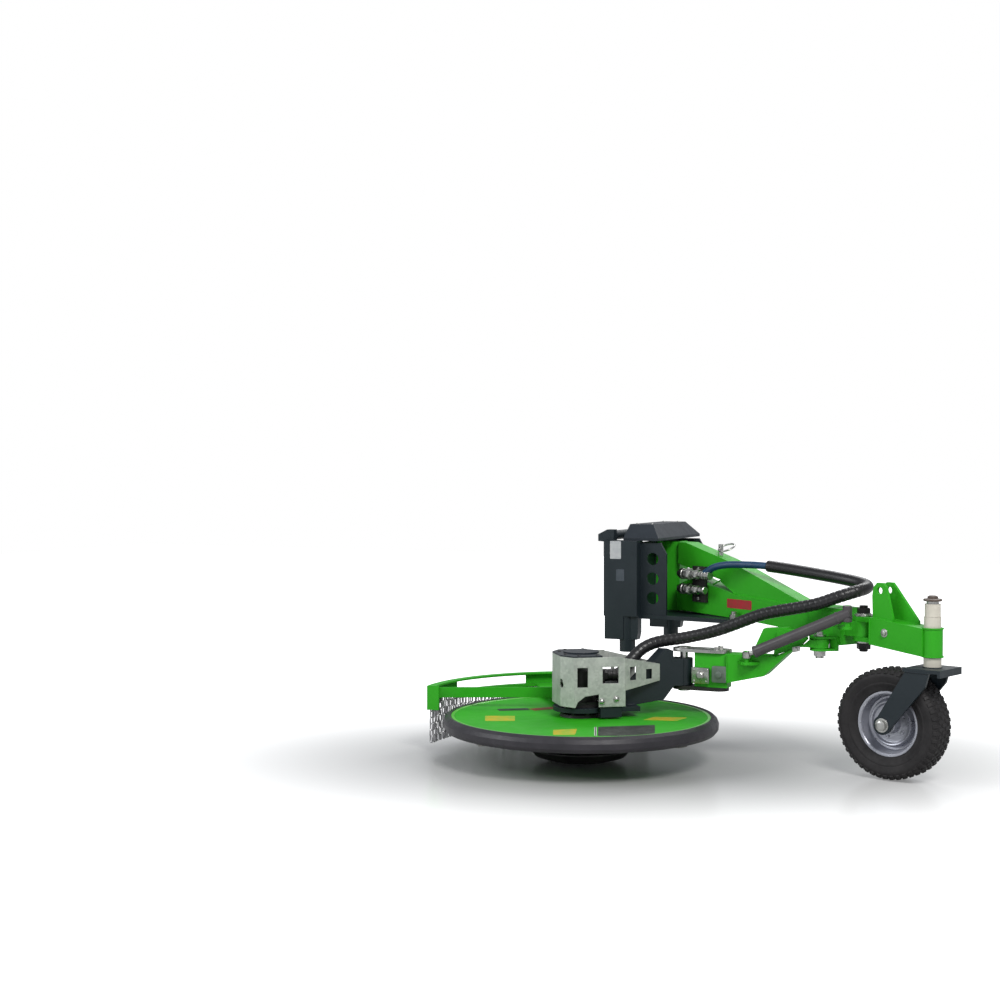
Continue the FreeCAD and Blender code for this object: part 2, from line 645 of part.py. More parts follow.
def strut_rear_bracket():
    z1 = STRUT_REAR.z - 18
    edge = PIVOT.y - ARM_WIDTH / 2
    plate = plan_plate([(STRUT_REAR.x - 30, edge), (STRUT_REAR.x - 13, STRUT_REAR.y - 6),
                        (STRUT_REAR.x + 13, STRUT_REAR.y - 6), (STRUT_REAR.x + 30, edge)], z1 - 8, z1)
    pin = post(STRUT_PIN_R, STRUT_REAR, z1 - 8, STRUT_REAR.z + 12)
    return plate.fuse([post(11.5, STRUT_REAR, z1 - 8, z1), pin]).removeSplitter()


# ---- spring strut -------------------------------------------------------------------
def strut_along(t):
    """A point on the strut's line, t millimetres from its front eye."""
    line = STRUT_REAR.sub(STRUT_FRONT).normalize()
    return STRUT_FRONT.add(line.multiply(t))


STRUT_LENGTH = STRUT_REAR.sub(STRUT_FRONT).Length


def strut_tube():
    body = rod(STRUT_TUBE_R, strut_along(-7), strut_along(STRUT_LENGTH - 24))
    bore = rod(STRUT_ROD_R + RUN, strut_along(60), strut_along(STRUT_LENGTH))
    eye = tube(12, STRUT_PIN_R + RUN, STRUT_FRONT, STRUT_FRONT.z - STRUT_EYE, STRUT_FRONT.z + STRUT_EYE)
    clear = post(STRUT_PIN_R + RUN, STRUT_FRONT, STRUT_FRONT.z - 30, STRUT_FRONT.z + 30)
    return body.fuse(eye).cut(bore).cut(clear).removeSplitter()


def strut_rod():
    stem = rod(STRUT_ROD_R, strut_along(STRUT_LENGTH - 130), strut_along(STRUT_LENGTH - 8))
    eye = post(12, STRUT_REAR, STRUT_REAR.z - 7, STRUT_REAR.z + 7)
    hole = post(STRUT_PIN_R + STRUT_PLAY, STRUT_REAR, STRUT_REAR.z - 30, STRUT_REAR.z + 30)
    return stem.fuse(eye).cut(hole).removeSplitter()


# ---- cutter head --------------------------------------------------------------------
def head_arm():
    half = HEAD_ARM_WIDTH / 2
    edge = HEAD_LENGTH
    outline = [(12, BARREL_TOP), (40, BARREL_TOP), (40, -166), (64, -164), (150, -250), (edge - 52, -252),
               (edge - 52, MOTOR_PLATE_TOP), (150, MOTOR_PLATE_TOP), (66, -298), (38, BARREL_BOTTOM),
               (12, BARREL_BOTTOM)]
    core = [(46, -175), (60, -173), (146, -258), (edge - 60, -260), (edge - 60, MOTOR_PLATE_TOP + 7),
            (151, MOTOR_PLATE_TOP + 7), (70, -291), (46, -272)]
    plate = side_plate(outline, -half, half)
    plate = plate.cut(side_plate(core, -half + 6, half - 6))
    barrel = post(BARREL_R, V(0, 0, 0), BARREL_BOTTOM, BARREL_TOP)
    bore = post(HEAD_PIN_R + RUN, V(0, 0, 0), -300, 0)
    return on_head(plate.fuse(barrel).cut(bore).removeSplitter())


def motor_plate():
    """Round plate under the motor, with a wing for the head arm and upright cheeks for the guard."""
    low = MOTOR_PLATE_TOP - MOTOR_PLATE_THICK
    cheek = GUARD_HALF - GUARD_SHEET - SEAT
    wing = [box(HEAD_LENGTH - 150, HEAD_LENGTH, -60, 60, low, MOTOR_PLATE_TOP),
            box(HEAD_LENGTH - 92, HEAD_LENGTH - 34, -cheek, cheek, low, MOTOR_PLATE_TOP),
            box(HEAD_LENGTH - 92, HEAD_LENGTH - 34, cheek - 8, cheek, low - 11, -266),
            box(HEAD_LENGTH - 92, HEAD_LENGTH - 34, -cheek, 8 - cheek, low - 11, -266)]
    disc = post(MOTOR_PLATE_R, CUTTER, low, MOTOR_PLATE_TOP)
    plate = disc.fuse([on_head(piece) for piece in wing])
    return plate.cut(post(HOUSING_R + RUN, CUTTER, -500, 0)).removeSplitter()


def spindle_housing():
    collar = tube(HOUSING_R + 10, SHAFT_R + RUN, CUTTER, -374, -360)
    body = tube(HOUSING_R, SHAFT_R + RUN, CUTTER, -374, MOTOR_PLATE_TOP)
    return body.fuse(collar).removeSplitter()


def hydraulic_motor():
    body = post(41, CUTTER, MOTOR_PLATE_TOP, -214)
    flange = placed(box(-52, 52, -52, 52, MOTOR_PLATE_TOP, MOTOR_PLATE_TOP + 14), HEAD_ANGLE, CUTTER)
    port = placed(box(-62, -30, -24, 24, -249, -214), HEAD_ANGLE, CUTTER)
    return body.fuse([flange, port]).removeSplitter()


def guard_outline(offset):
    """Half of the guard's plan from its closed end to the head arm, offset outwards."""
    return [(67 + offset, 0), (67 + offset, 46 + offset * 0.4), (40 + offset * 0.4, GUARD_HALF + offset),
            (-100, GUARD_HALF + offset), (-146 - offset * 0.2, 62 + offset), (-212, 36 + offset)]


def motor_guard():
    """Folded sheet around the motor, open towards the head arm, with windows."""
    def ring(offset):
        side = guard_outline(offset)
        loop = side + [(x, -y) for x, y in reversed(side[1:])]
        return plan_plate(loop, GUARD_BOTTOM, GUARD_TOP)

    shell = ring(0).cut(ring(-GUARD_SHEET).fuse(box(-260, -180, -32, 32, -400, 0)))
    trims = [side_plate([(-101, -400), (-101, -262), (-146, -256), (-260, -236), (-260, -400)], -200, 200),
             side_plate([(36, -400), (36, GUARD_BOTTOM), (30, -290), (10, -275), (-28, -270), (-28, -400)],
                        -200, 200),
             side_plate([(-90, -150), (-90, GUARD_TOP - 2), (-260, -210), (-260, -150)], -200, 200)]
    windows = [box(2, 31, -120, 120, -251, -199), box(-82, -38, 0, 120, -242, -198),
               box(-108, -60, -120, 0, -242, -198),
               box(-136, -116, -120, 120, -237, -201), box(-187, -168, -120, 120, -238, -211),
               rod(8, V(0, 0, -246), V(100, 74, -246)), rod(5, V(0, 0, -236), V(100, 74, -236))]
    shell = shell.cut(trims[0].fuse(trims[1:])).cut(windows[0].fuse(windows[1:]))
    return placed(shell, HEAD_ANGLE, CUTTER)


def guard_cap():
    """Lid on the guard's top, over the motor."""
    side = [(67, 0), (67, 46), (40, GUARD_HALF), (-38, GUARD_HALF)]
    lid = plan_plate(side + [(x, -y) for x, y in reversed(side[1:])], GUARD_TOP, GUARD_TOP + 4)
    return placed(lid.fuse(post(48, V(-2, 0, 0), GUARD_TOP + 4, GUARD_TOP + 8)).removeSplitter(), HEAD_ANGLE,
                  CUTTER)


def arc_wall(r0, r1, z0, z1, a0, a1):
    face = turned([(r0, z0), (r1, z0), (r1, z1), (r0, z1)], CUTTER)
    wedge = [(0, 0)]
    steps = 8
    for i in range(steps + 1):
        a = math.radians(a0 + (a1 - a0) * i / steps)
        wedge.append((700 * math.cos(a), 700 * math.sin(a)))
    cutter = plan_plate([(CUTTER.x + x, CUTTER.y + y) for x, y in wedge], z0 - 5, z1 + 5)
    return face.common(cutter)


def guard_band():
    """Rail and chain strip joined by upright ribs, with a straight wall across their left end."""
    wall = arc_wall(BAND_R - BAND_SHEET, BAND_R, BAND_BOTTOM, BAND_TOP, BAND_FROM, BAND_TO)
    rail = arc_wall(BAND_R - 24, BAND_R, BAND_TOP - 5, BAND_TOP, BAND_FROM, BAND_TO)
    hanger = arc_wall(BAND_R - 20, BAND_R, BAND_BOTTOM + 4, BAND_BOTTOM + 12, BAND_FROM, BAND_TO)
    end = arc_wall(BAND_R - 34, BAND_R, BAND_BOTTOM - 22, BAND_TOP, BAND_TO - 1, BAND_TO)
    half_chord = math.sqrt((BAND_R - BAND_SHEET) ** 2 - CHORD_OFFSET ** 2)
    chord = box(CHORD_OFFSET, CHORD_OFFSET + BAND_SHEET, 10, half_chord, MOTOR_PLATE_TOP + SEAT, BAND_TOP - 6)
    band = wall.fuse([rail, hanger, end, placed(chord, CHORD_ANGLE, CUTTER)]).removeSplitter()
    for a0, a1 in ((86, 102), (106, 122), (134, 167)):
        band = band.cut(arc_wall(BAND_R - 12, BAND_R + 6, BAND_BOTTOM + 12, BAND_TOP - 9, a0, a1))
    return band


def band_bracket():
    """Flat bar from the motor plate out over the deck to the band."""
    low = MOTOR_PLATE_TOP - MOTOR_PLATE_THICK
    bar = placed(box(60, BAND_R, -26, 26, low, MOTOR_PLATE_TOP), HEAD_ANGLE - 90, CUTTER)
    inside = post(BAND_R - 20 - SEAT, CUTTER, low - 1, MOTOR_PLATE_TOP + 1)
    return bar.common(inside).cut(post(MOTOR_PLATE_R + RUN, CUTTER, low - 1, MOTOR_PLATE_TOP + 1))


def chain_curtain():
    return arc_wall(BAND_R - 16, BAND_R - 6, CHAIN_BOTTOM, BAND_BOTTOM + 4, BAND_FROM + 2, BAND_TO - 1)


# ---- deck and cutter ----------------------------------------------------------------
def deck_disc():
    profile = [(HUB_R - 6, DECK_TOP - DECK_THICK), (DECK_R, DECK_TOP - DECK_THICK), (DECK_R, DECK_TOP),
               (HUB_R - 6, DECK_TOP)]
    return turned(profile, CUTTER)


def deck_hub():
    return turned([(HOUSING_R + RUN, -358), (HUB_R, -358), (HUB_R, DECK_TOP - DECK_THICK),
                   (HUB_R - 6, DECK_TOP - DECK_THICK), (HUB_R - 6, DECK_TOP), (HUB_R - 8, DECK_TOP + 8),
                   (HOUSING_R + RUN, DECK_TOP + 8)], CUTTER)


def rubber_ring():
    r0 = DECK_R
    lip = DECK_TOP - DECK_THICK
    return turned([(r0 - 14, lip), (r0 + SEAT, lip), (r0 + SEAT, RUBBER_TOP), (r0 + 9, RUBBER_TOP + 1),
                   (RUBBER_R - 4, RUBBER_TOP - 6), (RUBBER_R, RUBBER_TOP - 16),
                   (RUBBER_R - 1, RUBBER_TOP - 30),
                   (RUBBER_R - 8, RUBBER_BOTTOM + 3), (r0 + 2, RUBBER_BOTTOM), (r0 - 8, RUBBER_BOTTOM + 6)],
                   CUTTER)


def cutter_shaft():
    return post(SHAFT_R, CUTTER, GLIDE_BOTTOM + 30, MOTOR_PLATE_TOP - 1)


def cutter_disc():
    low = CUTTER_TOP - CUTTER_THICK
    hub = tube(38, SHAFT_R, CUTTER, low - 10, -375)
    return tube(CUTTER_DISC_R, SHAFT_R, CUTTER, low, CUTTER_TOP).fuse(hub).removeSplitter()


def cutter_blade(angle):
    low = CUTTER_TOP - CUTTER_THICK
    blade = plan_plate([(130, -22), (BLADE_TIP_R - 8, -18), (BLADE_TIP_R, 14), (BLADE_TIP_R - 10, 20),
                        (130, 22)],
                       low - 6, low)
    bolt = post(9, V(150, 0, 0), low - 11, low - 6)
    return placed(blade.fuse(bolt).removeSplitter(), angle, CUTTER)


def gliding_disc():
    z = GLIDE_BOTTOM
    bowl = turned([(0, z), (GLIDE_R - 40, z), (GLIDE_R - 12, z + 9), (GLIDE_R, z + 26), (GLIDE_R, z + 30),
                   (GLIDE_R - 4, z + 30), (GLIDE_R - 15, z + 15), (GLIDE_R - 42, z + 6), (44, z + 6),
                   (40, z + 30),
                   (0, z + 30)], CUTTER)
    return bowl


# ---- castor -------------------------------------------------------------------------
def castor(shape):
    """From a frame at the stem with local X along the castor's heading."""
    return placed(shape, CASTER_TURN, STEM)


def upper_spacers():
    return [tube(21, STEM_R + RUN, STEM, STEM_TUBE_TOP + SEAT, -42),
            tube(19.5, STEM_R + RUN, STEM, -42 + SEAT, -10)]


def lower_spacers():
    return tube(22, STEM_R + RUN, STEM, FORK_TOP, STEM_TUBE_BOTTOM - SEAT)


def stem_cap():
    return post(23, STEM, STEM_TOP, STEM_TOP + 6).fuse(post(12, STEM, STEM_TOP + 6, STEM_TOP + 14))


def caster_stem():
    return post(STEM_R, STEM, FORK_TOP - FORK_PLATE, STEM_TOP)


def axle_local():
    return V(-CASTER_TRAIL, 0, GROUND + TYRE_OD / 2)


def fork_leg(side):
    y0, y1 = sorted((side * FORK_INNER, side * FORK_OUTER))
    a = axle_local()
    top = FORK_TOP - FORK_PLATE
    leg = side_plate([(-44, top), (20, top), (10, top - 34), (a.x + 22, a.z - 8), (a.x - 20, a.z + 8)], y0,
                     y1)
    end = rod(24, V(a.x, y0, a.z), V(a.x, y1, a.z))
    return leg.fuse(end)


def caster_fork():
    low = FORK_TOP - FORK_PLATE
    plate = box(-50, 49, -FORK_OUTER, FORK_OUTER, low, FORK_TOP)
    lip = box(42, 49, -FORK_OUTER, FORK_OUTER, low - 9, low)
    fork = plate.fuse([lip, fork_leg(-1), fork_leg(1)])
    a = axle_local()
    hole = rod(AXLE_R + RUN, V(a.x, -FORK_OUTER - 1, a.z), V(a.x, FORK_OUTER + 1, a.z))
    socket = post(STEM_R + RUN, V(0, 0, 0), low - 1, FORK_TOP + 1)
    return castor(fork.removeSplitter().cut(hole).cut(socket))


def caster_axle():
    a = axle_local()
    bolt = rod(AXLE_R, V(a.x, -FORK_OUTER - 2, a.z), V(a.x, FORK_OUTER + 14, a.z))
    head = rod(13, V(a.x, -FORK_OUTER - 10, a.z), V(a.x, -FORK_OUTER, a.z))
    nut = rod(13, V(a.x, FORK_OUTER, a.z), V(a.x, FORK_OUTER + 10, a.z))
    return castor(bolt.fuse([head, nut]).removeSplitter())


def wheel_turned(points):
    """Revolves (radius, width) points about the wheel's axle."""
    a = axle_local()
    corners = [V(a.x, w, a.z + r) for r, w in points]
    face = Part.Face(Part.makePolygon(corners + corners[:1]))
    return castor(face.revolve(a, V(0, 1, 0), 360))


def tyre():
    w = TYRE_WIDTH / 2
    r = TYRE_OD / 2
    rim = RIM_R + SEAT
    bead = RIM_WIDTH / 2 - 4.6
    half = [(rim, bead), (RIM_R + 6, bead), (RIM_R + 6, RIM_WIDTH / 2 + 1), (rim + 16, w - 5), (rim + 34, w),
            (r - 14, w - 3), (r - 4, w - 14), (r, w - 30)]
    return wheel_turned(half + [(x, -y) for x, y in reversed(half)])


def rim():
    half = RIM_WIDTH / 2
    lip = half - 3.1
    barrel = wheel_turned([(RIM_R + 5, half), (RIM_R + 5, lip), (RIM_R, lip), (RIM_R, -lip),
                           (RIM_R + 5, -lip), (RIM_R + 5, -half), (RIM_R - 5, -half),
                           (RIM_R - 13, 14 - half), (RIM_R - 13, half - 14), (RIM_R - 5, half)])
    disc = wheel_turned([(RIM_R - 12, 4), (RIM_R - 12, -2), (40, -12), (22, -12), (22, -6), (38, -6)])
    return barrel.fuse(disc).removeSplitter()


def wheel_hub():
    return wheel_turned([(AXLE_R + RUN, -36), (22, -36), (22, 36), (AXLE_R + RUN, 36)])


# ---- hoses --------------------------------------------------------------------------
def loop_hose():
    """From the coupler along the beam, over the castor hinge and back to the arm's pivot."""
    points = [beam_point(232, -72, 22), beam_point(262, -72, 22), beam_point(302, -64, 38),
              beam_point(356, -46, 50), beam_point(420, -22, 54), beam_point(490, 8, 50),
              beam_point(560, 36, 40), beam_point(620, 56, 32), beam_point(672, 67, 25),
              beam_point(716, 66, 18), beam_point(746, 38, 13), beam_point(748, -6, 6),
              beam_point(722, -46, -8), V(PIVOT.x, PIVOT.y, PIVOT_HOSE_Z)]
    ball = Part.makeSphere(HOSE_R, points[-1])
    return hose(points, HOSE_R).fuse(ball).removeSplitter()


def arm_hose_route():
    return [V(PIVOT.x, PIVOT.y, PIVOT_HOSE_Z), V(PIVOT.x - 60, PIVOT.y + 4, -42),
            V(PIVOT.x - 112, PIVOT.y + 6, -52), V(PIVOT.x - 160, PIVOT.y + 6, -63),
            V(BARREL.x + 152, PIVOT.y + 5, -88),
            V(BARREL.x + 90, PIVOT.y + 2, -113), V(BARREL.x, BARREL.y, BARREL_HOSE_Z)]


def trimmed_start(points, cut):
    """Starts the route a little later, clear of the ball that ends the hose before it."""
    first = points[1].sub(points[0]).normalize()
    return [points[0].add(first.multiply(cut))] + points[1:]


def arm_hose():
    route = trimmed_start(arm_hose_route(), HOSE_R + 0.5)
    return hose(route, HOSE_R).fuse(Part.makeSphere(HOSE_R, route[-1])).removeSplitter()


def head_point(t, side, z):
    a = math.radians(HEAD_ANGLE)
    return V(BARREL.x + t * math.cos(a) - side * math.sin(a), BARREL.y + t * math.sin(a) + side * math.cos(a),
             z)


def head_hose():
    route = [V(BARREL.x, BARREL.y, BARREL_HOSE_Z), head_point(36, -22, -142), head_point(76, -39, -151),
             head_point(112, -38, -168), head_point(146, -26, -198), head_point(178, -12, PORT_Z),
             head_point(206, 0, PORT_Z), head_point(HEAD_LENGTH - 62, 0, PORT_Z)]
    return hose(trimmed_start(route, HOSE_R + 0.5), HOSE_R)


# ---- write every sub-part -----------------------------------------------------------
def build():
    couplers = [quick_coupler(22), quick_coupler(-22)]
    return {
        "side_posts": solids(side_post(-1), side_post(1)),
        "lock_sleeves": solids(lock_sleeve(-1), lock_sleeve(1)),
        "hook_bar": hook_bar(),
        "web_plates": solids(web(-1), web(1)),
        "back_plate": back_plate(),
        "tongue_plate": tongue_plate(),
        "hood": hood(),
        "frame_post": frame_post(),
        "lower_beam": lower_beam(),
        "upper_brace": upper_brace(),
        "beam_collar": beam_collar(),
        "hinge_lug": hinge_lug(),
        "hinge_bolt": hinge_bolt(),
        "caster_arm": caster_arm(),
        "stem_tube": stem_tube(),
        "arm_ears": solids(ear(-1), ear(1)),
        "linch_pin": linch_pin(),
        "pull_ring": pull_ring(),
        "tongue_bolt": tongue_bolt(),
        "coupler_plate": coupler_plate(),
        "quick_couplers": solids(*couplers),
        "pivot_bracket": pivot_bracket(),
        "pivot_pin": pivot_pin(),
        "strut_front_bracket": strut_front_bracket(),
        "loop_hose": loop_hose(),
        "swing_arm": swing_arm(),
        "pivot_hub": pivot_hub(),
        "head_fork_top": head_fork_top(),
        "head_fork_bottom": head_fork_bottom(),
        "head_fork_block": head_fork_block(),
        "head_pin": head_pin(),
        "strut_rear_bracket": strut_rear_bracket(),
        "arm_hose": arm_hose(),
        "strut_tube": strut_tube(),
        "strut_rod": strut_rod(),
        "head_arm": head_arm(),
        "motor_plate": motor_plate(),
        "spindle_housing": spindle_housing(),
        "hydraulic_motor": hydraulic_motor(),
        "motor_guard": motor_guard(),
        "guard_cap": guard_cap(),
        "guard_band": guard_band(),
        "band_bracket": band_bracket(),
        "chain_curtain": chain_curtain(),
        "head_hose": head_hose(),
        "deck_disc": deck_disc(),
        "deck_hub": deck_hub(),
        "rubber_ring": rubber_ring(),
        "cutter_shaft": cutter_shaft(),
        "cutter_disc": cutter_disc(),
        "cutter_blades": solids(*[cutter_blade(a) for a in (112, 232, 352)]),
        "gliding_disc": gliding_disc(),
        "caster_stem": caster_stem(),
        "caster_fork": caster_fork(),
        "stem_spacers": solids(*upper_spacers(), lower_spacers()),
        "stem_cap": stem_cap(),
        "caster_axle": caster_axle(),
        "tyre": tyre(),
        "rim": rim().fuse(wheel_hub()).removeSplitter(),
    }


os.makedirs("parts", exist_ok=True)
for node, shape in build().items():
    shape.exportStep("parts/" + node + ".step")
    print(node, len(shape.Solids), round(shape.Volume / 1000), "cm3",
          "valid" if shape.isValid() else "INVALID")
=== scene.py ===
"""A loader-carried fence mower: coupling frame, slanted beam on a castor, swing arm and round cutter head."""
import json
import math
import random

import bmesh
import bpy
from mathutils import Matrix, Vector


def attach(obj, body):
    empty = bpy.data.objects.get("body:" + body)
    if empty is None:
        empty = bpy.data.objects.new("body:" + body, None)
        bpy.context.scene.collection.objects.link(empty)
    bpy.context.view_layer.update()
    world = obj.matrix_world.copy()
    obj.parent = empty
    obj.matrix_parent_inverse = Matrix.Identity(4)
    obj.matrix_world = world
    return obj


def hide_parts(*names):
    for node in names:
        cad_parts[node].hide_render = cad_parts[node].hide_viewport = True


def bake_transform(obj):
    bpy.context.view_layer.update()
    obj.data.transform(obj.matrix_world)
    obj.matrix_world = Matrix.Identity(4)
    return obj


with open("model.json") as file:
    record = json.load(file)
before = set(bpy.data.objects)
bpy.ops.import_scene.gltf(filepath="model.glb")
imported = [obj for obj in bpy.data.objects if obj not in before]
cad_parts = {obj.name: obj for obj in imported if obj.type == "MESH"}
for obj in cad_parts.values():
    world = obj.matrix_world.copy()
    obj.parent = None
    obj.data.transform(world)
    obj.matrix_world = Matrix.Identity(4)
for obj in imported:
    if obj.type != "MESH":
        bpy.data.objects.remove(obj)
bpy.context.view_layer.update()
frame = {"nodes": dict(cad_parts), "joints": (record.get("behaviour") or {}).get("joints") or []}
hinge = {j["name"]: Vector(j["pos_m"]) for j in frame["joints"] if "pos_m" in j}


# ---- studio ----------------------------------------------------------------------------
# A pale, slightly glossy floor with a painted grey shadow under the mower, three soft lamps, a white
# surround and a camera low on the mower's right that looks across it towards the loader side.
GROUND = -0.460
FOCAL = 54.0
SENSOR = 36.0
HEADING = math.radians(25.19)
DIP = math.radians(0.955)
scene = bpy.context.scene
scene.view_settings.view_transform = "Standard"

aim = Vector((-math.sin(HEADING) * math.cos(DIP), math.cos(HEADING) * math.cos(DIP), -math.sin(DIP)))
camera = bpy.data.objects.new("camera", bpy.data.cameras.new("camera"))
camera.data.lens = FOCAL
camera.data.sensor_width = SENSOR
camera.location = (1.509, -4.327, 0.310)
camera.rotation_euler = aim.to_track_quat("-Z", "Y").to_euler()
scene.collection.objects.link(camera)
scene.camera = camera


def lamp(name, place, target, size, watts, tint=(1, 1, 1)):
    light = bpy.data.lights.new(name, "AREA")
    light.size = size
    light.energy = watts
    light.color = tint
    obj = bpy.data.objects.new(name, light)
    obj.location = place
    obj.rotation_euler = (Vector(target) - Vector(place)).to_track_quat("-Z", "Y").to_euler()
    scene.collection.objects.link(obj)


lamp("key", (2.6, -3.2, 3.4), (0.3, -0.4, -0.2), 1.6, 165, (1.0, 0.99, 0.97))
lamp("fill", (-2.8, -3.0, 1.8), (0.2, -0.4, -0.2), 2.4, 62, (0.96, 0.98, 1.0))
lamp("back", (0.4, 2.8, 3.2), (0.3, -0.4, -0.2), 2.2, 80)

world = bpy.data.worlds.new("surround")
scene.world = world
world.use_nodes = True
n, l = world.node_tree.nodes, world.node_tree.links
n.clear()
path = n.new("ShaderNodeLightPath")
seen = n.new("ShaderNodeMath")
seen.operation = "MAXIMUM"
l.new(path.outputs["Is Camera Ray"], seen.inputs[0])
l.new(path.outputs["Is Transmission Ray"], seen.inputs[1])
ambient = n.new("ShaderNodeBackground")
ambient.inputs["Color"].default_value = (0.93, 0.96, 1.0, 1)
ambient.inputs["Strength"].default_value = 0.42
white = n.new("ShaderNodeBackground")
white.inputs["Color"].default_value = (1, 1, 1, 1)
white.inputs["Strength"].default_value = 1.0
mixer = n.new("ShaderNodeMixShader")
l.new(seen.outputs[0], mixer.inputs["Fac"])
l.new(ambient.outputs[0], mixer.inputs[1])
l.new(white.outputs[0], mixer.inputs[2])
l.new(mixer.outputs[0], n.new("ShaderNodeOutputWorld").inputs["Surface"])

bm = bmesh.new()
bmesh.ops.create_grid(bm, x_segments=1, y_segments=1, size=9.0)
bmesh.ops.translate(bm, verts=bm.verts, vec=(0, 0, GROUND))
floor_mesh = bpy.data.meshes.new("floor")
bm.to_mesh(floor_mesh)
bm.free()
floor = bpy.data.objects.new("floor", floor_mesh)
scene.collection.objects.link(floor)


def fresh(name):
    """An empty node material with its Principled shader."""
    mat = bpy.data.materials.new(name)
    mat.use_nodes = True
    return mat, mat.node_tree.nodes, mat.node_tree.links, mat.node_tree.nodes["Principled BSDF"]


def ramp(n, l, value, stops):
    """Maps a value to the colours or grey levels at the given places."""
    node = n.new("ShaderNodeValToRGB")
    ends = node.color_ramp.elements
    while len(ends) < len(stops):
        ends.new(0.5)
    for element, (place, colour) in zip(ends, stops):
        element.position = place
        element.color = (*colour, 1) if isinstance(colour, tuple) else (colour, colour, colour, 1)
    l.new(value, node.inputs["Fac"])
    return node.outputs["Color"]


# The floor carries a painted shadow: its colour greys from 0.86 far off to 0.30 in an ellipse under and
# behind the mower, and the camera-ray glow that whitens the far floor fades out over that painted shadow.
mat, n, l, shader = fresh("floor_card")
coords = n.new("ShaderNodeTexCoord")
painted_shadow_mapping = n.new("ShaderNodeMapping")
painted_shadow_mapping.inputs["Location"].default_value = (0.12, -0.50, 0)
painted_shadow_mapping.inputs["Rotation"].default_value = (0, 0, HEADING)
painted_shadow_mapping.inputs["Scale"].default_value = (2.0, 1.3, 1.0)
painted_shadow_mapping.vector_type = "TEXTURE"
l.new(coords.outputs["Object"], painted_shadow_mapping.inputs["Vector"])
painted_shadow = n.new("ShaderNodeTexGradient")
painted_shadow.gradient_type = "SPHERICAL"
l.new(painted_shadow_mapping.outputs["Vector"], painted_shadow.inputs["Vector"])
shader.inputs["Roughness"].default_value = 0.22
shader.inputs["Specular IOR Level"].default_value = 0.35
# Painted shadow: the base colour darkens towards the ellipse's centre under the mower.
l.new(ramp(n, l, painted_shadow.outputs["Fac"], [(0.0, 0.86), (0.6, 0.30)]), shader.inputs["Base Color"])
glow = n.new("ShaderNodeEmission")
l.new(ramp(n, l, painted_shadow.outputs["Fac"], [(0.0, 1.0), (0.5, 0.0)]), glow.inputs["Color"])
path = n.new("ShaderNodeLightPath")
add = n.new("ShaderNodeAddShader")
pick = n.new("ShaderNodeMixShader")
l.new(shader.outputs[0], add.inputs[0])
l.new(glow.outputs[0], add.inputs[1])
l.new(path.outputs["Is Camera Ray"], pick.inputs["Fac"])
l.new(shader.outputs[0], pick.inputs[1])
l.new(add.outputs[0], pick.inputs[2])
l.new(pick.outputs[0], n["Material Output"].inputs["Surface"])
floor_mesh.materials.append(mat)


# ---- coupling frame --------------------------------------------------------------------
# The loader's coupling plate hooks over the cross bar and drops two pins into the lugs. It is cut
# and welded from thick plate and powder coated anthracite, with two blank labels on one post.
def mm(*values):
    """A place or a size given in millimetres."""
    return Vector(values) / 1000


def at(x, y, z):
    """A shift to a place given in millimetres."""
    return Matrix.Translation(mm(x, y, z))


def spoke(k, count):
    """The k-th of a number of equal turns about Z."""
    return Matrix.Rotation(math.tau * k / count, 4, "Z")


def noise(n, l, scale, detail=3.0, rough=0.55):
    """Object-space noise, as a value from 0 to 1."""
    coords = n.new("ShaderNodeTexCoord")
    tex = n.new("ShaderNodeTexNoise")
    tex.inputs["Scale"].default_value = scale
    tex.inputs["Detail"].default_value = detail
    tex.inputs["Roughness"].default_value = rough
    l.new(coords.outputs["Object"], tex.inputs["Vector"])
    return tex.outputs["Fac"]


def relief(n, l, shader, height, depth, edge=0.0012):
    """Bump on top of edges rounded by the bevel node."""
    soft = n.new("ShaderNodeBevel")
    soft.samples = 4
    soft.inputs["Radius"].default_value = edge
    bump = n.new("ShaderNodeBump")
    bump.inputs["Strength"].default_value = 0.6
    bump.inputs["Distance"].default_value = depth
    l.new(height, bump.inputs["Height"])
    l.new(soft.outputs["Normal"], bump.inputs["Normal"])
    l.new(bump.outputs["Normal"], shader.inputs["Normal"])


def surface(name, tints, blotches, roughness, smears, grain, depth, edge=0.0012, **dials):
    """A surface whose colour and roughness drift with noise, over a fine bump."""
    mat, n, l, shader = fresh(name)
    l.new(ramp(n, l, noise(n, l, *blotches), tints), shader.inputs["Base Color"])
    l.new(ramp(n, l, noise(n, l, *smears), roughness), shader.inputs["Roughness"])
    for dial, value in dials.items():
        shader.inputs[dial.replace("_", " ")].default_value = value
    relief(n, l, shader, noise(n, l, *grain), depth, edge)
    return mat


def coated(name, colour, dusty, roughness, coat, gloss=0.5, metallic=0.0, peel=0.0004):
    """Powder coat: faint orange peel, a little dust and wear, and uneven gloss."""
    low, high = roughness
    return surface(name, [(0.34, colour), (0.74, dusty)], (9.0, 6.0, 0.62), [(0.3, low), (0.7, high)],
                   (30.0, 4.0), (420.0, 2.0), peel, Coat_Weight=coat, Coat_Roughness=0.12,
                   Specular_IOR_Level=gloss, Metallic=metallic)


def dress(mat, *nodes):
    """Gives modelled pieces of the frame their finish."""
    for node in nodes:
        mesh = frame["nodes"][node].data
        mesh.materials.clear()
        mesh.materials.append(mat)


def shape_of(bm, name="shape"):
    """Closes a shape's seams, turns its faces outwards and keeps it as a mesh."""
    bmesh.ops.remove_doubles(bm, verts=bm.verts, dist=0.00001)
    bmesh.ops.recalc_face_normals(bm, faces=bm.faces)
    mesh = bpy.data.meshes.new(name)
    bm.to_mesh(mesh)
    bm.free()
    return mesh


def stamp(bm, shape, matrix):
    """Adds a copy of a finished shape at its place."""
    copy = shape.copy()
    copy.transform(matrix)
    bm.from_mesh(copy)
    bpy.data.meshes.remove(copy)


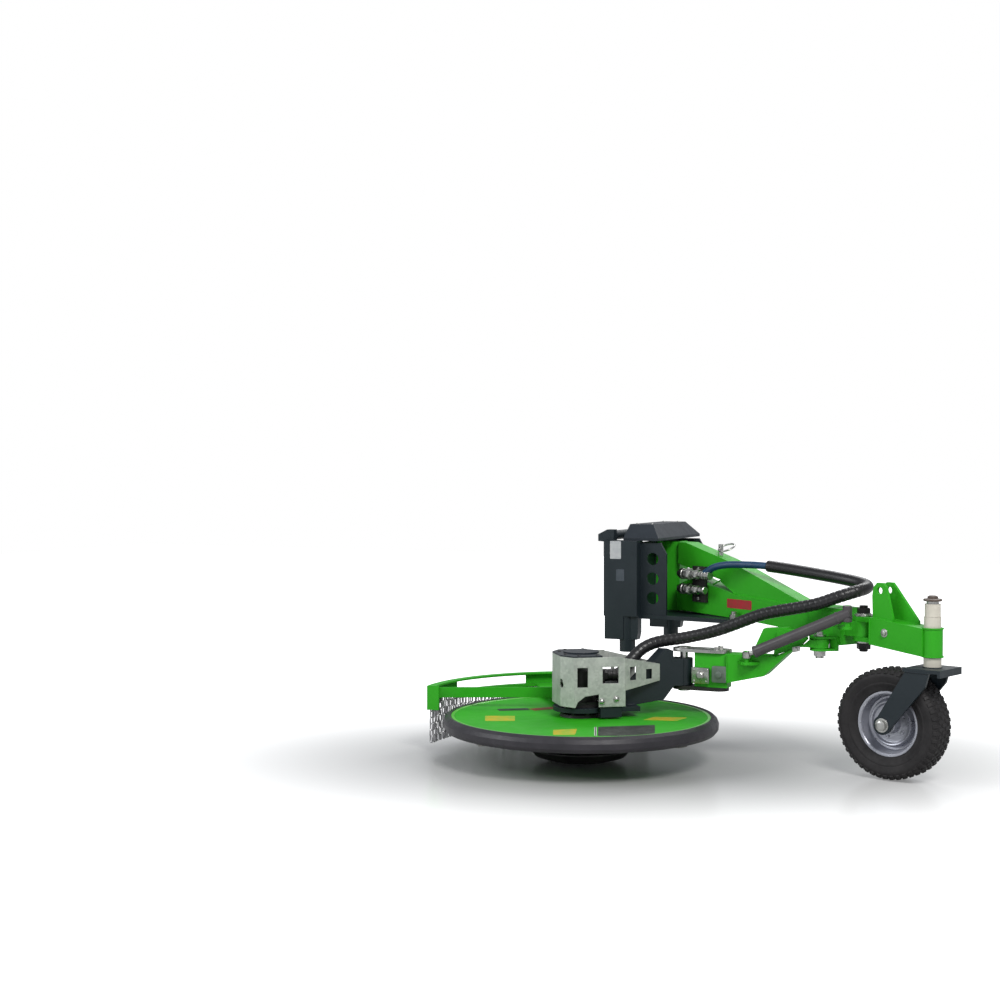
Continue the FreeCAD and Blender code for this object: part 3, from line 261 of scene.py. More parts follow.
def fixed(name, bm, mat, body, slot, *stands_for, crease=32):
    """Makes a piece of a shape, gives it its finish and fixes it to its body."""
    mesh = bpy.data.meshes.new(name)
    bm.to_mesh(mesh)
    bm.free()
    mesh.materials.append(mat)
    mesh.shade_smooth()
    mesh.set_sharp_from_angle(angle=math.radians(crease))
    obj = bpy.data.objects.new(name, mesh)
    scene.collection.objects.link(obj)
    if body:
        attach(obj, body)
    if stands_for:
        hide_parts(*stands_for)
    return obj


def raise_top(bm, thick):
    """Gives a flat shape its thickness, upwards."""
    grown = bmesh.ops.extrude_face_region(bm, geom=list(bm.faces))["geom"]
    top = [g for g in grown if isinstance(g, bmesh.types.BMVert)]
    bmesh.ops.translate(bm, verts=top, vec=mm(0, 0, thick))


def soften(bm, top, edge):
    """Breaks the outer edges of a shape's top face, which lies at the given height."""
    upper = [e for e in bm.edges if all(v.co.z > top / 1000 - 1e-6 for v in e.verts)]
    rim = [e for e in upper if e.calc_face_angle(0) > 1]
    bmesh.ops.bevel(bm, geom=rim, offset=edge / 1000, affect="EDGES", segments=2, profile=0.5, material=-1)


def plate(outline, thick, corner=0.0, edge=0.0):
    """A flat plate from its outline in millimetres, with round corners and broken top edges."""
    bm = bmesh.new()
    bm.faces.new([bm.verts.new(mm(x, y, 0)) for x, y in outline])
    if corner:
        bmesh.ops.bevel(bm, geom=list(bm.verts), offset=corner / 1000, affect="VERTICES", segments=5,
                        profile=0.5, material=-1)
    raise_top(bm, thick)
    if edge:
        soften(bm, thick, edge)
    return shape_of(bm)


bm = bmesh.new()
bmesh.ops.create_uvsphere(bm, u_segments=8, v_segments=5, radius=1)
ripple = shape_of(bm, "ripple")


def weld(bm, *points, size=2.6, place=Matrix()):
    """A bead of overlapping ripples along a line of points in millimetres."""
    for a, b in zip(points, points[1:]):
        a, b = place @ mm(*a), place @ mm(*b)
        steps = max(2, round((b - a).length * 1000 / size))
        turn = (b - a).to_track_quat("X", "Z").to_matrix().to_4x4()
        shape = Matrix.Diagonal((size * 0.0011, size * 0.001, size * 0.001, 1))
        for i in range(steps):
            stamp(bm, ripple, Matrix.Translation(a.lerp(b, i / steps)) @ turn @ shape)


UPRIGHT = Matrix.Rotation(math.radians(90), 4, "X")
POST_FACE = -222
anthracite = coated("anthracite_coat", (0.009, 0.016, 0.021), (0.015, 0.023, 0.029), (0.40, 0.54), coat=0.05,
                    gloss=0.35)
dress(anthracite, *"side_posts lock_sleeves hook_bar web_plates back_plate tongue_plate".split())

WEB_FACE = 178
BOX_FACE = 38
PLATE_FACE = 10
PLATE_FOOT = -98
PLATE_HEAD = 108
WEB_TIP = 94
BEAM_POST_FRONT = 86
bm = bmesh.new()
for side in (-1, 1):
    weld(bm, (PLATE_FACE, side * WEB_FACE, PLATE_FOOT), (PLATE_FACE, side * WEB_FACE, PLATE_HEAD))
    weld(bm, (PLATE_FACE, side * WEB_FACE, PLATE_FOOT), (WEB_TIP, side * WEB_FACE, PLATE_FOOT))
    weld(bm, (PLATE_FACE, side * BOX_FACE, PLATE_FOOT), (PLATE_FACE, side * BOX_FACE, PLATE_HEAD))
    weld(bm, (PLATE_FACE + 1, side * BOX_FACE, PLATE_FOOT), (BEAM_POST_FRONT, side * BOX_FACE, PLATE_FOOT))
fixed("frame_welds", bm, anthracite, "frame", "anthracite_paint")


def label(name, low, high, colour, faded, face=at(0, POST_FACE, 0)):
    """A blank adhesive label on an upright near face, between two (x, z) corners."""
    mat = surface(name, [(0.35, colour), (0.7, faded)], (60.0, 5.0), [(0.3, 0.30), (0.7, 0.48)], (140.0, 3.0),
                  (300.0, 2.0), 0.0001, 0.0002)
    (x0, z0), (x1, z1) = low, high
    bm = bmesh.new()
    stamp(bm, plate([(x0, z0), (x1, z0), (x1, z1), (x0, z1)], 0.4, 2.5), face @ UPRIGHT)
    fixed(name, bm, mat, "frame", "anthracite_paint")


label("upper_label", (-66, 65), (-32, 117), (0.40, 0.41, 0.43), (0.50, 0.50, 0.51))
label("lower_label", (-47, 1), (-22, 35), (0.040, 0.052, 0.066), (0.058, 0.070, 0.086))


# ---- hood ------------------------------------------------------------------------------
# A thin pressed cover over the hose ends, coated a little paler than the frame and held by four
# pan-head screws on its top.
def spun(profile, segments=40):
    """Turns a closed profile of (radius, height) points in millimetres about Z."""
    bm = bmesh.new()
    line = [bm.verts.new(mm(r, 0, z)) for r, z in profile]
    pairs = list(zip(line, line[1:]))
    if profile[0][0] > 0:
        pairs.append((line[-1], line[0]))
    edges = [bm.edges.new(pair) for pair in pairs]
    bmesh.ops.spin(bm, geom=line + edges, cent=(0, 0, 0), axis=(0, 0, 1), angle=math.tau, steps=segments,
                   use_merge=True)
    return shape_of(bm)


hood_coat = coated("hood_coat", (0.013, 0.018, 0.025), (0.022, 0.029, 0.038), (0.36, 0.50), coat=0.06,
                   gloss=0.3, peel=0.0002)
dress(hood_coat, "hood")


def bare(name, colour, worn, roughness, grain=160.0, metallic=1.0, depth=0.0003):
    """Uncoated metal with fine grain and patchy gloss."""
    low, high = roughness
    return surface(name, [(0.32, colour), (0.72, worn)], (24.0, 6.0, 0.65), [(0.3, low), (0.72, high)],
                   (60.0, 5.0), (grain, 4.0), depth, 0.0006, Metallic=metallic)


HOOD_TOP = 165
zinc = bare("bright_zinc", (0.56, 0.56, 0.54), (0.38, 0.38, 0.36), (0.22, 0.42))
pan_head = spun([(0, 2.6), (2.6, 2.3), (4.4, 1.2), (5.0, 0), (0, 0)], 16)
bm = bmesh.new()
for x in (-18, 28):
    for y in (-120, 120):
        stamp(bm, pan_head, at(x, y, HOOD_TOP))
fixed("hood_screws", bm, zinc, "frame", "bright_steel")


# ---- beam and brace --------------------------------------------------------------------
# The green box beam leaves the square post, drops under the brace and ends in a square collar. It
# is welded from folded sheet, and every joint has a bead under the gloss powder coat.
BEAM_ROOT = mm(45, 0, 0)
run = hinge["caster_swivel"] - BEAM_ROOT
beam = Matrix.Translation(BEAM_ROOT) @ Matrix.Rotation(math.atan2(run.y, run.x), 4, "Z")
green = coated("green_coat", (0.027, 0.36, 0.011), (0.038, 0.40, 0.017), (0.40, 0.52), coat=0.04, gloss=0.22,
               peel=0.00012)
dress(green, *"frame_post lower_beam upper_brace beam_collar pivot_bracket strut_front_bracket".split())

COLLAR_S = 613
BEAM_END = 723
BEAM_HALF = 35
bm = bmesh.new()
for side in (-1, 1):
    y = side * BEAM_HALF
    weld(bm, (COLLAR_S, y, -111), (COLLAR_S, y, -48), place=beam)
    weld(bm, (BEAM_END, side * 27, -108), (BEAM_END, side * 27, -72), place=beam)
    weld(bm, (320, side * 25, -32), (585, side * 25, -46), place=beam)
    weld(bm, (218, side * 25, -7), (248, side * 25, 6), (310, side * 25, -29), place=beam)
weld(bm, (COLLAR_S, -BEAM_HALF, -46), (COLLAR_S, BEAM_HALF, -46), place=beam)
weld(bm, (COLLAR_S + 8, -43, -121), (BEAM_END - 6, -43, -121), place=beam)
for y in (-BOX_FACE, 16):
    weld(bm, (BEAM_POST_FRONT, y, -92), (BEAM_POST_FRONT, y, -32))
fixed("beam_welds", bm, green, "frame", "green_paint")
near_face = beam @ at(0, -BEAM_HALF, 0)
label("beam_label", (286, -69), (386, -43), (0.40, 0.010, 0.022), (0.30, 0.030, 0.020), near_face)


# ---- linch pin and tongue bolt ---------------------------------------------------------
# A zinc plated pin locks the brace and is pulled by a sprung wire ring, and one bolt and nut
# clamp the tongue under the beam.
dress(zinc, "linch_pin", "pull_ring", "tongue_bolt")


# ---- quick couplers --------------------------------------------------------------------
# Two turned steel hydraulic couplers, one above the other on a dark bulkhead plate bolted to the
# beam: knurled locking sleeve and hexagons, with a hose ferrule on the upper and a cap on the lower.
def hexagon(across, height):
    """A bolt head or nut standing on its face, with its top edges broken."""
    bm = bmesh.new()
    r = across / math.sqrt(3) / 1000
    bmesh.ops.create_cone(bm, cap_ends=True, segments=6, radius1=r, radius2=r, depth=height / 1000,
                          matrix=at(0, 0, height / 2))
    soften(bm, height, across * 0.07)
    return shape_of(bm)


def facing(place, out):
    """Stands a shape's Z along a direction, at a place."""
    return Matrix.Translation(place) @ Vector(out).to_track_quat("Z", "Y").to_matrix().to_4x4()


dark = bare("dark_cast", (0.016, 0.016, 0.018), (0.040, 0.038, 0.036), (0.42, 0.6), 220.0, metallic=0.35,
            depth=0.0006)
dress(dark, "coupler_plate")

COUPLER_SIDE = -72
COUPLER_RISE = 22
BULKHEAD_S = 178
BULKHEAD_FACE = -46
coupler = spun([(0, 0), (8.5, 0), (9.5, 1.2), (9.5, 11), (13.6, 12), (14.8, 13.2), (14.8, 24), (13.4, 25.2),
                (13.4, 28), (14.8, 29), (14.8, 38), (12.4, 39.5), (12.4, 70), (10, 71), (10, 96), (8.6, 98),
                (8.6, 112), (0, 112)], 32)
bm = bmesh.new()
bmesh.ops.create_cone(bm, cap_ends=True, segments=4, radius1=0.0012, radius2=0.0012, depth=0.012)
ridge = shape_of(bm, "ridge")
ferrule = spun([(0, 0), (11.5, 0), (12.4, 1), (12.4, 8), (11.4, 9), (11.4, 11), (12.4, 12), (12.4, 20),
                (11.4, 21), (11.4, 23), (12.4, 24), (12.4, 33), (11.6, 34), (0, 34)], 28)
bm = bmesh.new()
for z in (COUPLER_RISE, -COUPLER_RISE):
    start = beam @ facing(mm(120, COUPLER_SIDE, z), (1, 0, 0))
    stamp(bm, coupler, start)
    for k in range(28):
        knurl = spoke(k, 28) @ at(14.8, 0, 18.6)
        stamp(bm, ridge, start @ knurl)
    stamp(bm, hexagon(29, 15), start @ at(0, 0, 40))
    stamp(bm, hexagon(24, 12), start @ at(0, 0, 74))
stamp(bm, ferrule, beam @ facing(mm(222, COUPLER_SIDE, COUPLER_RISE), (1, 0, 0)))
stamp(bm, spun([(0, 0), (9.5, 0), (11, 1.5), (11, 9), (9, 10.5), (0, 10.5)], 24),
      beam @ facing(mm(224, COUPLER_SIDE, -COUPLER_RISE), (1, 0, 0)))
for z in (36, -50):
    stamp(bm, hexagon(11, 5), beam @ facing(mm(BULKHEAD_S, BULKHEAD_FACE, z), (0, -1, 0)))
for z in (COUPLER_RISE, -COUPLER_RISE):
    clip = plate([(-12, -6), (12, -6), (12, 6), (-12, 6)], 22, 1.5)
    stamp(bm, clip, beam @ at(BULKHEAD_S, BULKHEAD_FACE, z) @ UPRIGHT)
fixed("quick_coupler_set", bm, zinc, "frame", "bright_steel", "quick_couplers")


# ---- castor arm and its hinge ----------------------------------------------------------
# The welded castor arm clamps to the beam's end with one large bolt, with black nuts above and
# below and plated washers under them. Two ears on the arm take a lifting pin.
dress(green, *"hinge_lug caster_arm stem_tube arm_ears".split())
HINGE_S = 766
HINGE_TOP = -58
HINGE_FOOT = -122
CASTOR_ARM_S = 812
CASTOR_ARM_HALF = 30
blackened = bare("blackened_steel", (0.010, 0.010, 0.011), (0.028, 0.026, 0.025), (0.34, 0.52), 240.0,
                 metallic=0.6)
bm = bmesh.new()
bolt_line = beam @ at(HINGE_S, 0, 0)
stamp(bm, hexagon(30, 14), bolt_line @ at(0, 0, HINGE_TOP + 8))
stamp(bm, spun([(0, 0), (9.6, 0), (11, 1.2), (11, 6), (0, 6)], 20), bolt_line @ at(0, 0, -36))
stamp(bm, hexagon(32, 17), bolt_line @ facing(mm(0, 0, HINGE_FOOT - 5), (0, 0, -1)))
stamp(bm, spun([(0, 0), (11, 0), (11, 6), (9.6, 7.2), (0, 7.2)], 20),
      bolt_line @ facing(mm(0, 0, HINGE_FOOT - 21), (0, 0, -1)))
fixed("hinge_nuts", bm, blackened, "frame", "dark_steel", "hinge_bolt")

bm = bmesh.new()
stamp(bm, spun([(11.2, 0), (24, 0), (24.5, 0.7), (24.5, 4.4), (23.8, 5), (11.2, 5)]),
      bolt_line @ at(0, 0, HINGE_TOP))
stamp(bm, spun([(11.2, 0), (19.4, 0), (20, 0.6), (20, 2.4), (19.4, 3), (11.2, 3)]),
      bolt_line @ at(0, 0, HINGE_TOP + 5))
stamp(bm, spun([(11.2, 0), (22, 0), (22, 5), (11.2, 5)]), bolt_line @ at(0, 0, HINGE_FOOT - 5))
stamp(bm, spun([(0, 0), (10.9, 0), (10.9, 86), (0, 86)], 28), bolt_line @ at(0, 0, -133))
side_bolt = beam @ facing(mm(862, -CASTOR_ARM_HALF, -92), (0, -1, 0))
stamp(bm, hexagon(13, 6), side_bolt)
stamp(bm, spun([(6.6, 0), (11, 0), (11, 1.4), (6.6, 1.4)], 24), side_bolt)
fixed("hinge_washers", bm, zinc, "frame", "bright_steel")

STEM_S = run.xy.length * 1000
EAR_FACES = (-22, -14, 14, 22)


def round_weld(bm, radius, z, size, place):
    """A bead around an upright tube."""
    ring = [(radius * math.cos(a), radius * math.sin(a), z) for a in (math.tau * k / 20 for k in range(21))]
    weld(bm, *ring, size=size, place=place)


bm = bmesh.new()
for y in EAR_FACES:
    length = 66 if y < 0 else 118
    weld(bm, (818, y, -56), (CASTOR_ARM_S + length, y, -57 - length * 0.085), size=2.2, place=beam)
for z in (-71, -141):
    round_weld(bm, 25.5, z, 2.2, beam @ at(STEM_S, 0, 0))
for side in (-1, 1):
    y = side * CASTOR_ARM_HALF
    weld(bm, (CASTOR_ARM_S, y, -122), (CASTOR_ARM_S, y, -60), size=2.2, place=beam)
fixed("castor_arm_welds", bm, green, "frame", "green_paint")


# ---- castor stem, spacers and cap ------------------------------------------------------
# The steel stem turns in the tube. Cream plastic spacers set the working height, and a brown
# moulded cap with a grip closes the top.
def moulded(name, colour, faded, roughness, scale=60.0, depth=0.0004, gloss=0.5):
    """Rubber or plastic: no metal, a soft sheen and a fine grain."""
    low, high = roughness
    return surface(name, [(0.3, colour), (0.75, faded)], (18.0, 5.0), [(0.3, low), (0.7, high)], (scale, 3.0),
                   (scale * 4, 3.0), depth, Specular_IOR_Level=gloss)


spacer = moulded("spacer_plastic", (0.56, 0.53, 0.45), (0.66, 0.63, 0.55), (0.35, 0.5))
dress(spacer, "stem_spacers")
dress(zinc, "caster_stem")
cap_plastic = moulded("cap_plastic", (0.085, 0.062, 0.050), (0.13, 0.098, 0.080), (0.35, 0.5))
stem = Matrix.Translation(hinge["caster_swivel"])
bm = bmesh.new()
stamp(bm, spun([(0, 11), (8, 11), (10.6, 10), (12, 8), (12.4, 4.4), (14, 3.2), (20.4, 3), (22.4, 2.2),
                (23, 1), (23, -1.6), (21.8, -3), (0, -3)]), stem)
for k in range(18):
    grip = spoke(k, 18) @ at(12.2, 0, 6.4)
    stamp(bm, ridge, stem @ grip @ Matrix.Diagonal((0.7, 0.7, 0.36, 1)))
fixed("castor_cap", bm, cap_plastic, "caster", "dark_plastic", "stem_cap")


# ---- castor fork -----------------------------------------------------------------------
# Two flat legs welded under a lipped plate, coated anthracite, with a plated axle bolt through
# their round ends.
dress(anthracite, "caster_fork")
dress(zinc, "caster_axle")
axle = next(Vector(j["axis"]) for j in frame["joints"] if j["name"] == "wheel_spin")
castor = stem @ Matrix.Rotation(math.atan2(axle.y, axle.x) - math.radians(90), 4, "Z")
FORK_TOP = -168
FORK_FOOT = -177
LEG_FACES = (-59, -51, 51, 59)
bm = bmesh.new()
for y in LEG_FACES:
    weld(bm, (-43, y, FORK_FOOT), (20, y, FORK_FOOT), size=2.4, place=castor)
round_weld(bm, 22.5, FORK_TOP, 2.0, castor)
fixed("fork_welds", bm, anthracite, "caster", "anthracite_paint")

bm = bmesh.new()
hub_line = castor @ at(-106, 0, -317.5)
for side in (-1, 1):
    face = hub_line @ facing(mm(0, side * 59, 0), (0, side, 0))
    stamp(bm, spun([(13.2, 0), (17.4, 0), (18, 0.6), (18, 1.9), (17.4, 2.4), (13.2, 2.4)], 32), face)
stamp(bm, spun([(0, 0), (12.2, 0), (12.2, 0.8), (10.6, 1.9), (6, 2.6), (0, 2.8)], 32),
      hub_line @ facing(mm(0, -69, 0), (0, -1, 0)))
fixed("axle_washers", bm, zinc, "caster", "bright_steel")


# ---- castor tyre -----------------------------------------------------------------------
# A small pneumatic tyre: a moulded rubber carcass with rings on its walls, and rows of square
# blocks round the tread, staggered, with longer ones over the shoulders.
wheel = Matrix.Translation(hinge["wheel_spin"]) @ axle.to_track_quat("Z", "Y").to_matrix().to_4x4()
tyre_rubber = moulded("tyre_rubber", (0.012, 0.011, 0.012), (0.026, 0.024, 0.025), (0.55, 0.75), 90.0,
                      depth=0.0007, gloss=0.35)

TREAD_R = 138.6
LUGS = 46
wall = [(79, 24), (83, 29), (84, 32), (87, 32.4), (94, 36.5), (99, 39), (101, 40.6), (104, 41.2), (106, 40.6),
        (109, 41.8), (118, 42.9), (121, 43.6), (124, 43), (130, 41), (135, 36), (138, 28), (TREAD_R, 12)]
carcass = spun(wall + [(r, -w) for r, w in reversed(wall)], 96)


def lug(long, wide, high):
    """A square tread block, narrower at its top."""
    bm = bmesh.new()
    bmesh.ops.create_cube(bm, size=1, matrix=Matrix.Diagonal((*mm(high, long, wide), 1)))
    for v in bm.verts:
        if v.co.x > 0:
            v.co.y *= 0.78
            v.co.z *= 0.78
    bmesh.ops.bevel(bm, geom=[e for e in bm.edges if all(v.co.x > 0 for v in e.verts)], offset=0.0008,
                    affect="EDGES", segments=1, profile=0.5, material=-1)
    return shape_of(bm)


block = lug(11.0, 11.0, 7.0)
shoulder = lug(11.5, 15.0, 7.0)
bm = bmesh.new()
stamp(bm, carcass, wheel)
for k in range(LUGS):
    for row, w in enumerate((-24, -8.5, 8.5, 24)):
        turn = spoke(k + 0.5 * (row % 2), LUGS)
        stamp(bm, block, wheel @ turn @ at(TREAD_R - 0.2 - abs(w) * 0.03, 0, w))
    for side in (-1, 1):
        turn = spoke(k + (0.5 if side < 0 else 0.0), LUGS)
        lean = at(132.5, 0, side * 37.2) @ Matrix.Rotation(side * -0.86, 4, "Y")
        stamp(bm, shoulder, wheel @ turn @ lean)
fixed("castor_tyre", bm, tyre_rubber, "wheel", "tyre_rubber", "tyre")


# ---- castor rim ------------------------------------------------------------------------
# A pressed steel rim in silver paint: rolled flange, deep well and a dished disc with a raised
# ring, on a turned hub. Five small bolts join its halves, and the valve leans out of its well.
silver = coated("silver_coat", (0.36, 0.37, 0.42), (0.48, 0.49, 0.54), (0.24, 0.36), coat=0.2, metallic=0.65)
bm = bmesh.new()
flange = [(82.4, 31), (83, 30), (82.4, 29), (78, 28.4), (77.2, 25), (77.2, -25), (78, -28.4), (82.4, -29),
          (83, -30), (82.4, -31), (77.4, -30.4)]
near_dish = [(74.8, -28), (73, -18), (71, -6), (68, 0), (63, 1), (60.4, -3), (58.2, -13), (55.4, -16.4),
             (52, -15), (49.4, -8), (42, -6), (26, -9), (23.4, -14.4)]
hub = [(22.6, -34.6), (21, -36), (8.4, -36), (8.4, 36), (21, 36), (22.6, 34.6), (23.4, 14)]
far_dish = [(26, 11), (42, 8), (52, 6), (60, 7), (66, 9), (70, 14), (72.4, 22), (74.4, 28), (77.4, 30.4)]
stamp(bm, spun(flange + near_dish + hub + far_dish, 72), wheel)
nut = hexagon(8, 4)
for k in range(5):
    turn = wheel @ spoke(k, 5)
    stamp(bm, nut, turn @ facing(mm(36, 0, -7), (0, 0, -1)))
    stamp(bm, nut, turn @ facing(mm(36, 0, 8.4), (0, 0, 1)))
stamp(bm, spun([(0, 0), (4, 0), (4, 8), (2.8, 9), (2.8, 20), (3.4, 21), (3.4, 25), (0, 25)], 16),
      wheel @ facing(mm(-66, 8, 1), (0.35, 0, -1)))
fixed("castor_rim", bm, silver, "wheel", "silver_paint", "rim")


# ---- swing arm and its pivot -----------------------------------------------------------
# A folded green box arm hangs from the hub between two bracket plates and carries the cutter head
# out to the side. A plated pin runs through the hub, with a nut below and a washer and bolt above.
dress(green, "swing_arm", "pivot_hub", "strut_rear_bracket")
dress(zinc, "pivot_pin")
PIVOT = hinge["arm_swing"]
arm = Matrix.Translation((PIVOT.x, PIVOT.y, 0))
ARM_HALF = 30
SEAM_Z = -169
bm = bmesh.new()
for side in (-1, 1):
    weld(bm, (-24, side * 23, -140), (-24, side * 23, -124), size=2.2, place=arm)
    weld(bm, (-243, side * ARM_HALF, -172), (-243, side * ARM_HALF, -244), size=2.2, place=arm)
weld(bm, (-180, -4.5, SEAM_Z), (-120, -4.5, SEAM_Z), size=2.2, place=arm)
weld(bm, (-118, -14.5, SEAM_Z), (-108, -14.5, SEAM_Z), size=2.2, place=arm)
weld(bm, (-108, -14.5, SEAM_Z), (-40, -14.5, -137), size=2.2, place=arm)
weld(bm, (-190, -ARM_HALF - 0.4, -186), (-152, -ARM_HALF - 0.4, -186), size=2.0, place=arm)
fixed("swing_arm_welds", bm, green, "swing_arm", "green_paint")

bm = bmesh.new()
stamp(bm, hexagon(17, 8), arm @ at(0, 0, -109))
arm_side = arm @ at(0, -ARM_HALF, 0) @ UPRIGHT
stamp(bm, plate([(-64, -156), (-44, -152), (-44, -138), (-64, -142)], 4, 2.0, 0.6), arm_side)
stamp(bm, hexagon(10, 5), arm_side @ at(-54, -147, 4))
fixed("swing_arm_bolts", bm, zinc, "swing_arm", "bright_steel")


# ---- spring strut ----------------------------------------------------------------------
# A sprung strut in a dark grey sleeve pulls the arm back out: plated rod and eyes, retaining rings on
# both pins and a rolled collar at each end of the sleeve.
strut_coat = coated("strut_coat", (0.050, 0.045, 0.050), (0.085, 0.078, 0.082), (0.30, 0.42), coat=0.15)
dress(strut_coat, "strut_tube")
dress(zinc, "strut_rod")
STRUT_LENGTH = math.dist((677, -457, -48), (411, -457, -168))
front = hinge["strut_yaw"]
slide = next(Vector(j["axis"]) for j in frame["joints"] if j["name"] == "strut_slide")
bm = bmesh.new()
for t in (24, 262):
    collar = spun([(14.2, 0), (15.8, 0.6), (16.4, 2), (16.4, 5), (15.8, 6.4), (14.2, 7)])
    stamp(bm, collar, facing(front + slide * t / 1000, slide))
fixed("strut_collars", bm, strut_coat, "strut_tube", "strut_grey")
bm = bmesh.new()
ring_clip = spun([(6.2, 0), (10.4, 0), (10.8, 0.5), (10.8, 1.5), (10.4, 2), (6.2, 2)], 28)
stamp(bm, ring_clip, Matrix.Translation(front + mm(0, 0, 20.4)))
fixed("strut_front_washer", bm, zinc, "frame", "bright_steel")
bm = bmesh.new()
rear = front + slide * STRUT_LENGTH / 1000
stamp(bm, ring_clip, Matrix.Translation(rear + mm(0, 0, 8.2)))
fixed("strut_rear_washer", bm, zinc, "swing_arm", "bright_steel")


# ---- head fork -------------------------------------------------------------------------
# The cutter head turns on a pin between a slotted plated top plate and a dark bottom plate. They
# are bolted to a green block, with a square plated cheek and a dull second block on its near side.
BARREL = hinge["head_swing"]
barrel = Matrix.Translation((BARREL.x, BARREL.y, 0))
FORK_HEAD = -170
FORK_R = 30
FORK_SHEET = 9
BLOCK_FACE = -22
BLOCK_END = 127.7
CHEEK_SHEET = 12
SECOND_SHEET = 10
dress(dark, "head_fork_bottom")
dress(zinc, "head_pin")


def stadium(bm, radius, x0, x1):
    """The edges of a long hole or plate with round ends, along X between two centres."""
    ring = bmesh.ops.create_circle(bm, segments=40, radius=radius / 1000)["verts"]
    edges = list({e for v in ring for e in v.link_edges})
    for v in ring:
        v.co.x += (x1 if v.co.x > 0 else x0) / 1000
    return edges


bm = bmesh.new()
outer = stadium(bm, FORK_R, 0, 104)
slot = stadium(bm, 6.5, 58, 86)
bmesh.ops.bridge_loops(bm, edges=outer + slot)
raise_top(bm, FORK_SHEET)
soften(bm, FORK_SHEET, 0.9)
top_plate = shape_of(bm)
bm = bmesh.new()
stamp(bm, top_plate, barrel @ at(0, 0, FORK_HEAD))
for y in (-19, 19):
    stamp(bm, hexagon(13, 7), barrel @ at(98, y, FORK_HEAD + FORK_SHEET))
fixed("fork_top_plate", bm, zinc, "swing_arm", "bright_steel", "head_fork_top")

bm = bmesh.new()
block_plan = [(36, BLOCK_FACE), (BLOCK_END, BLOCK_FACE), (BLOCK_END, -BLOCK_FACE), (36, -BLOCK_FACE)]
stamp(bm, plate(block_plan, 93, 3.0, 1.0), barrel @ at(0, 0, -263))
fixed("fork_block", bm, green, "swing_arm", "green_paint", "head_fork_block")


def side_on(x0, x1, z0, z1, thick, corner):
    """A plate standing on the block's near side, between two (x, z) corners."""
    place = barrel @ at(0, BLOCK_FACE, 0) @ UPRIGHT
    return plate([(x0, z0), (x1, z0), (x1, z1), (x0, z1)], thick, corner, 1.0), place


bm = bmesh.new()
stamp(bm, *side_on(32, 80, -253, -210, CHEEK_SHEET, 3.0))
cheek_face = BLOCK_FACE - CHEEK_SHEET
stamp(bm, spun([(0, 8), (7, 7.6), (10, 5.4), (11, 2), (11, 0), (0, 0)], 32),
      barrel @ facing(mm(56, cheek_face, -231), (0, -1, 0)))
for x, z in ((38.5, -216), (73.5, -216), (38.5, -247), (73.5, -247)):
    stamp(bm, spun([(0, 1.6), (2.4, 1.4), (3.4, 0), (0, 0)], 12),
          barrel @ facing(mm(x, cheek_face, z), (0, -1, 0)))
fixed("fork_cheek", bm, zinc, "swing_arm", "bright_steel")

dull = bare("dull_casting", (0.13, 0.17, 0.14), (0.21, 0.25, 0.22), (0.42, 0.58), 200.0, metallic=0.5,
            depth=0.0005)
bm = bmesh.new()
stamp(bm, *side_on(88, BLOCK_END, -248, -204, SECOND_SHEET, 4.0))
stamp(bm, hexagon(17, 6), barrel @ facing(mm(108, BLOCK_FACE - SECOND_SHEET, -226), (0, -1, 0)))
fixed("fork_second_block", bm, dull, "swing_arm", "bright_steel")


# ---- head arm and motor plate ----------------------------------------------------------
# A deep folded arm, coated anthracite, steps down from the barrel to the round plate that carries
# the motor. The guard's cheeks stand up from the plate.
dress(anthracite, "head_arm", "motor_plate")
CUTTER = hinge["deck_spin"]
reach = Vector((CUTTER.x - BARREL.x, CUTTER.y - BARREL.y))
HEAD_HEADING = math.atan2(reach.y, reach.x)
MOTOR_PLATE_TOP = -310
head_turn = Matrix.Rotation(HEAD_HEADING, 4, "Z")
from_barrel = barrel @ head_turn
centre = Matrix.Translation((CUTTER.x, CUTTER.y, 0))
at_motor = centre @ head_turn
bm = bmesh.new()
for side in (-1, 1):
    weld(bm, (16, side * 20, -194), (16, side * 20, -258), size=2.2, place=from_barrel)
    y, z = side * 28.4, MOTOR_PLATE_TOP + 1
    weld(bm, (150, y, z), (236, y, z), size=2.4, place=from_barrel)
fixed("head_arm_welds", bm, anthracite, "head", "anthracite_paint")


# ---- hydraulic motor -------------------------------------------------------------------
# A cast hydraulic motor stands on the plate over the spindle housing, held by four bolts, with a
# hexagon fitting and a crimped ferrule where the hose enters.
dress(dark, "spindle_housing", "hydraulic_motor")
PORT_Z = -231
bm = bmesh.new()
for x in (-42, 42):
    for y in (-42, 42):
        stamp(bm, hexagon(17, 9), at_motor @ at(x, y, MOTOR_PLATE_TOP + 14))
stamp(bm, hexagon(30, 12), at_motor @ facing(mm(-62, 0, PORT_Z), (-1, 0, 0)))
stamp(bm, spun([(0, 0), (15.4, 0), (16.4, 1), (16.4, 8), (15, 9), (15, 11), (16.4, 12), (16.4, 20), (15, 21),
                (15, 23), (16.4, 24), (16.4, 32), (15.6, 33), (0, 33)], 28),
      at_motor @ facing(mm(-74, 0, PORT_Z), (-1, 0, 0)))
fixed("motor_fittings", bm, dark, "head", "dark_steel")


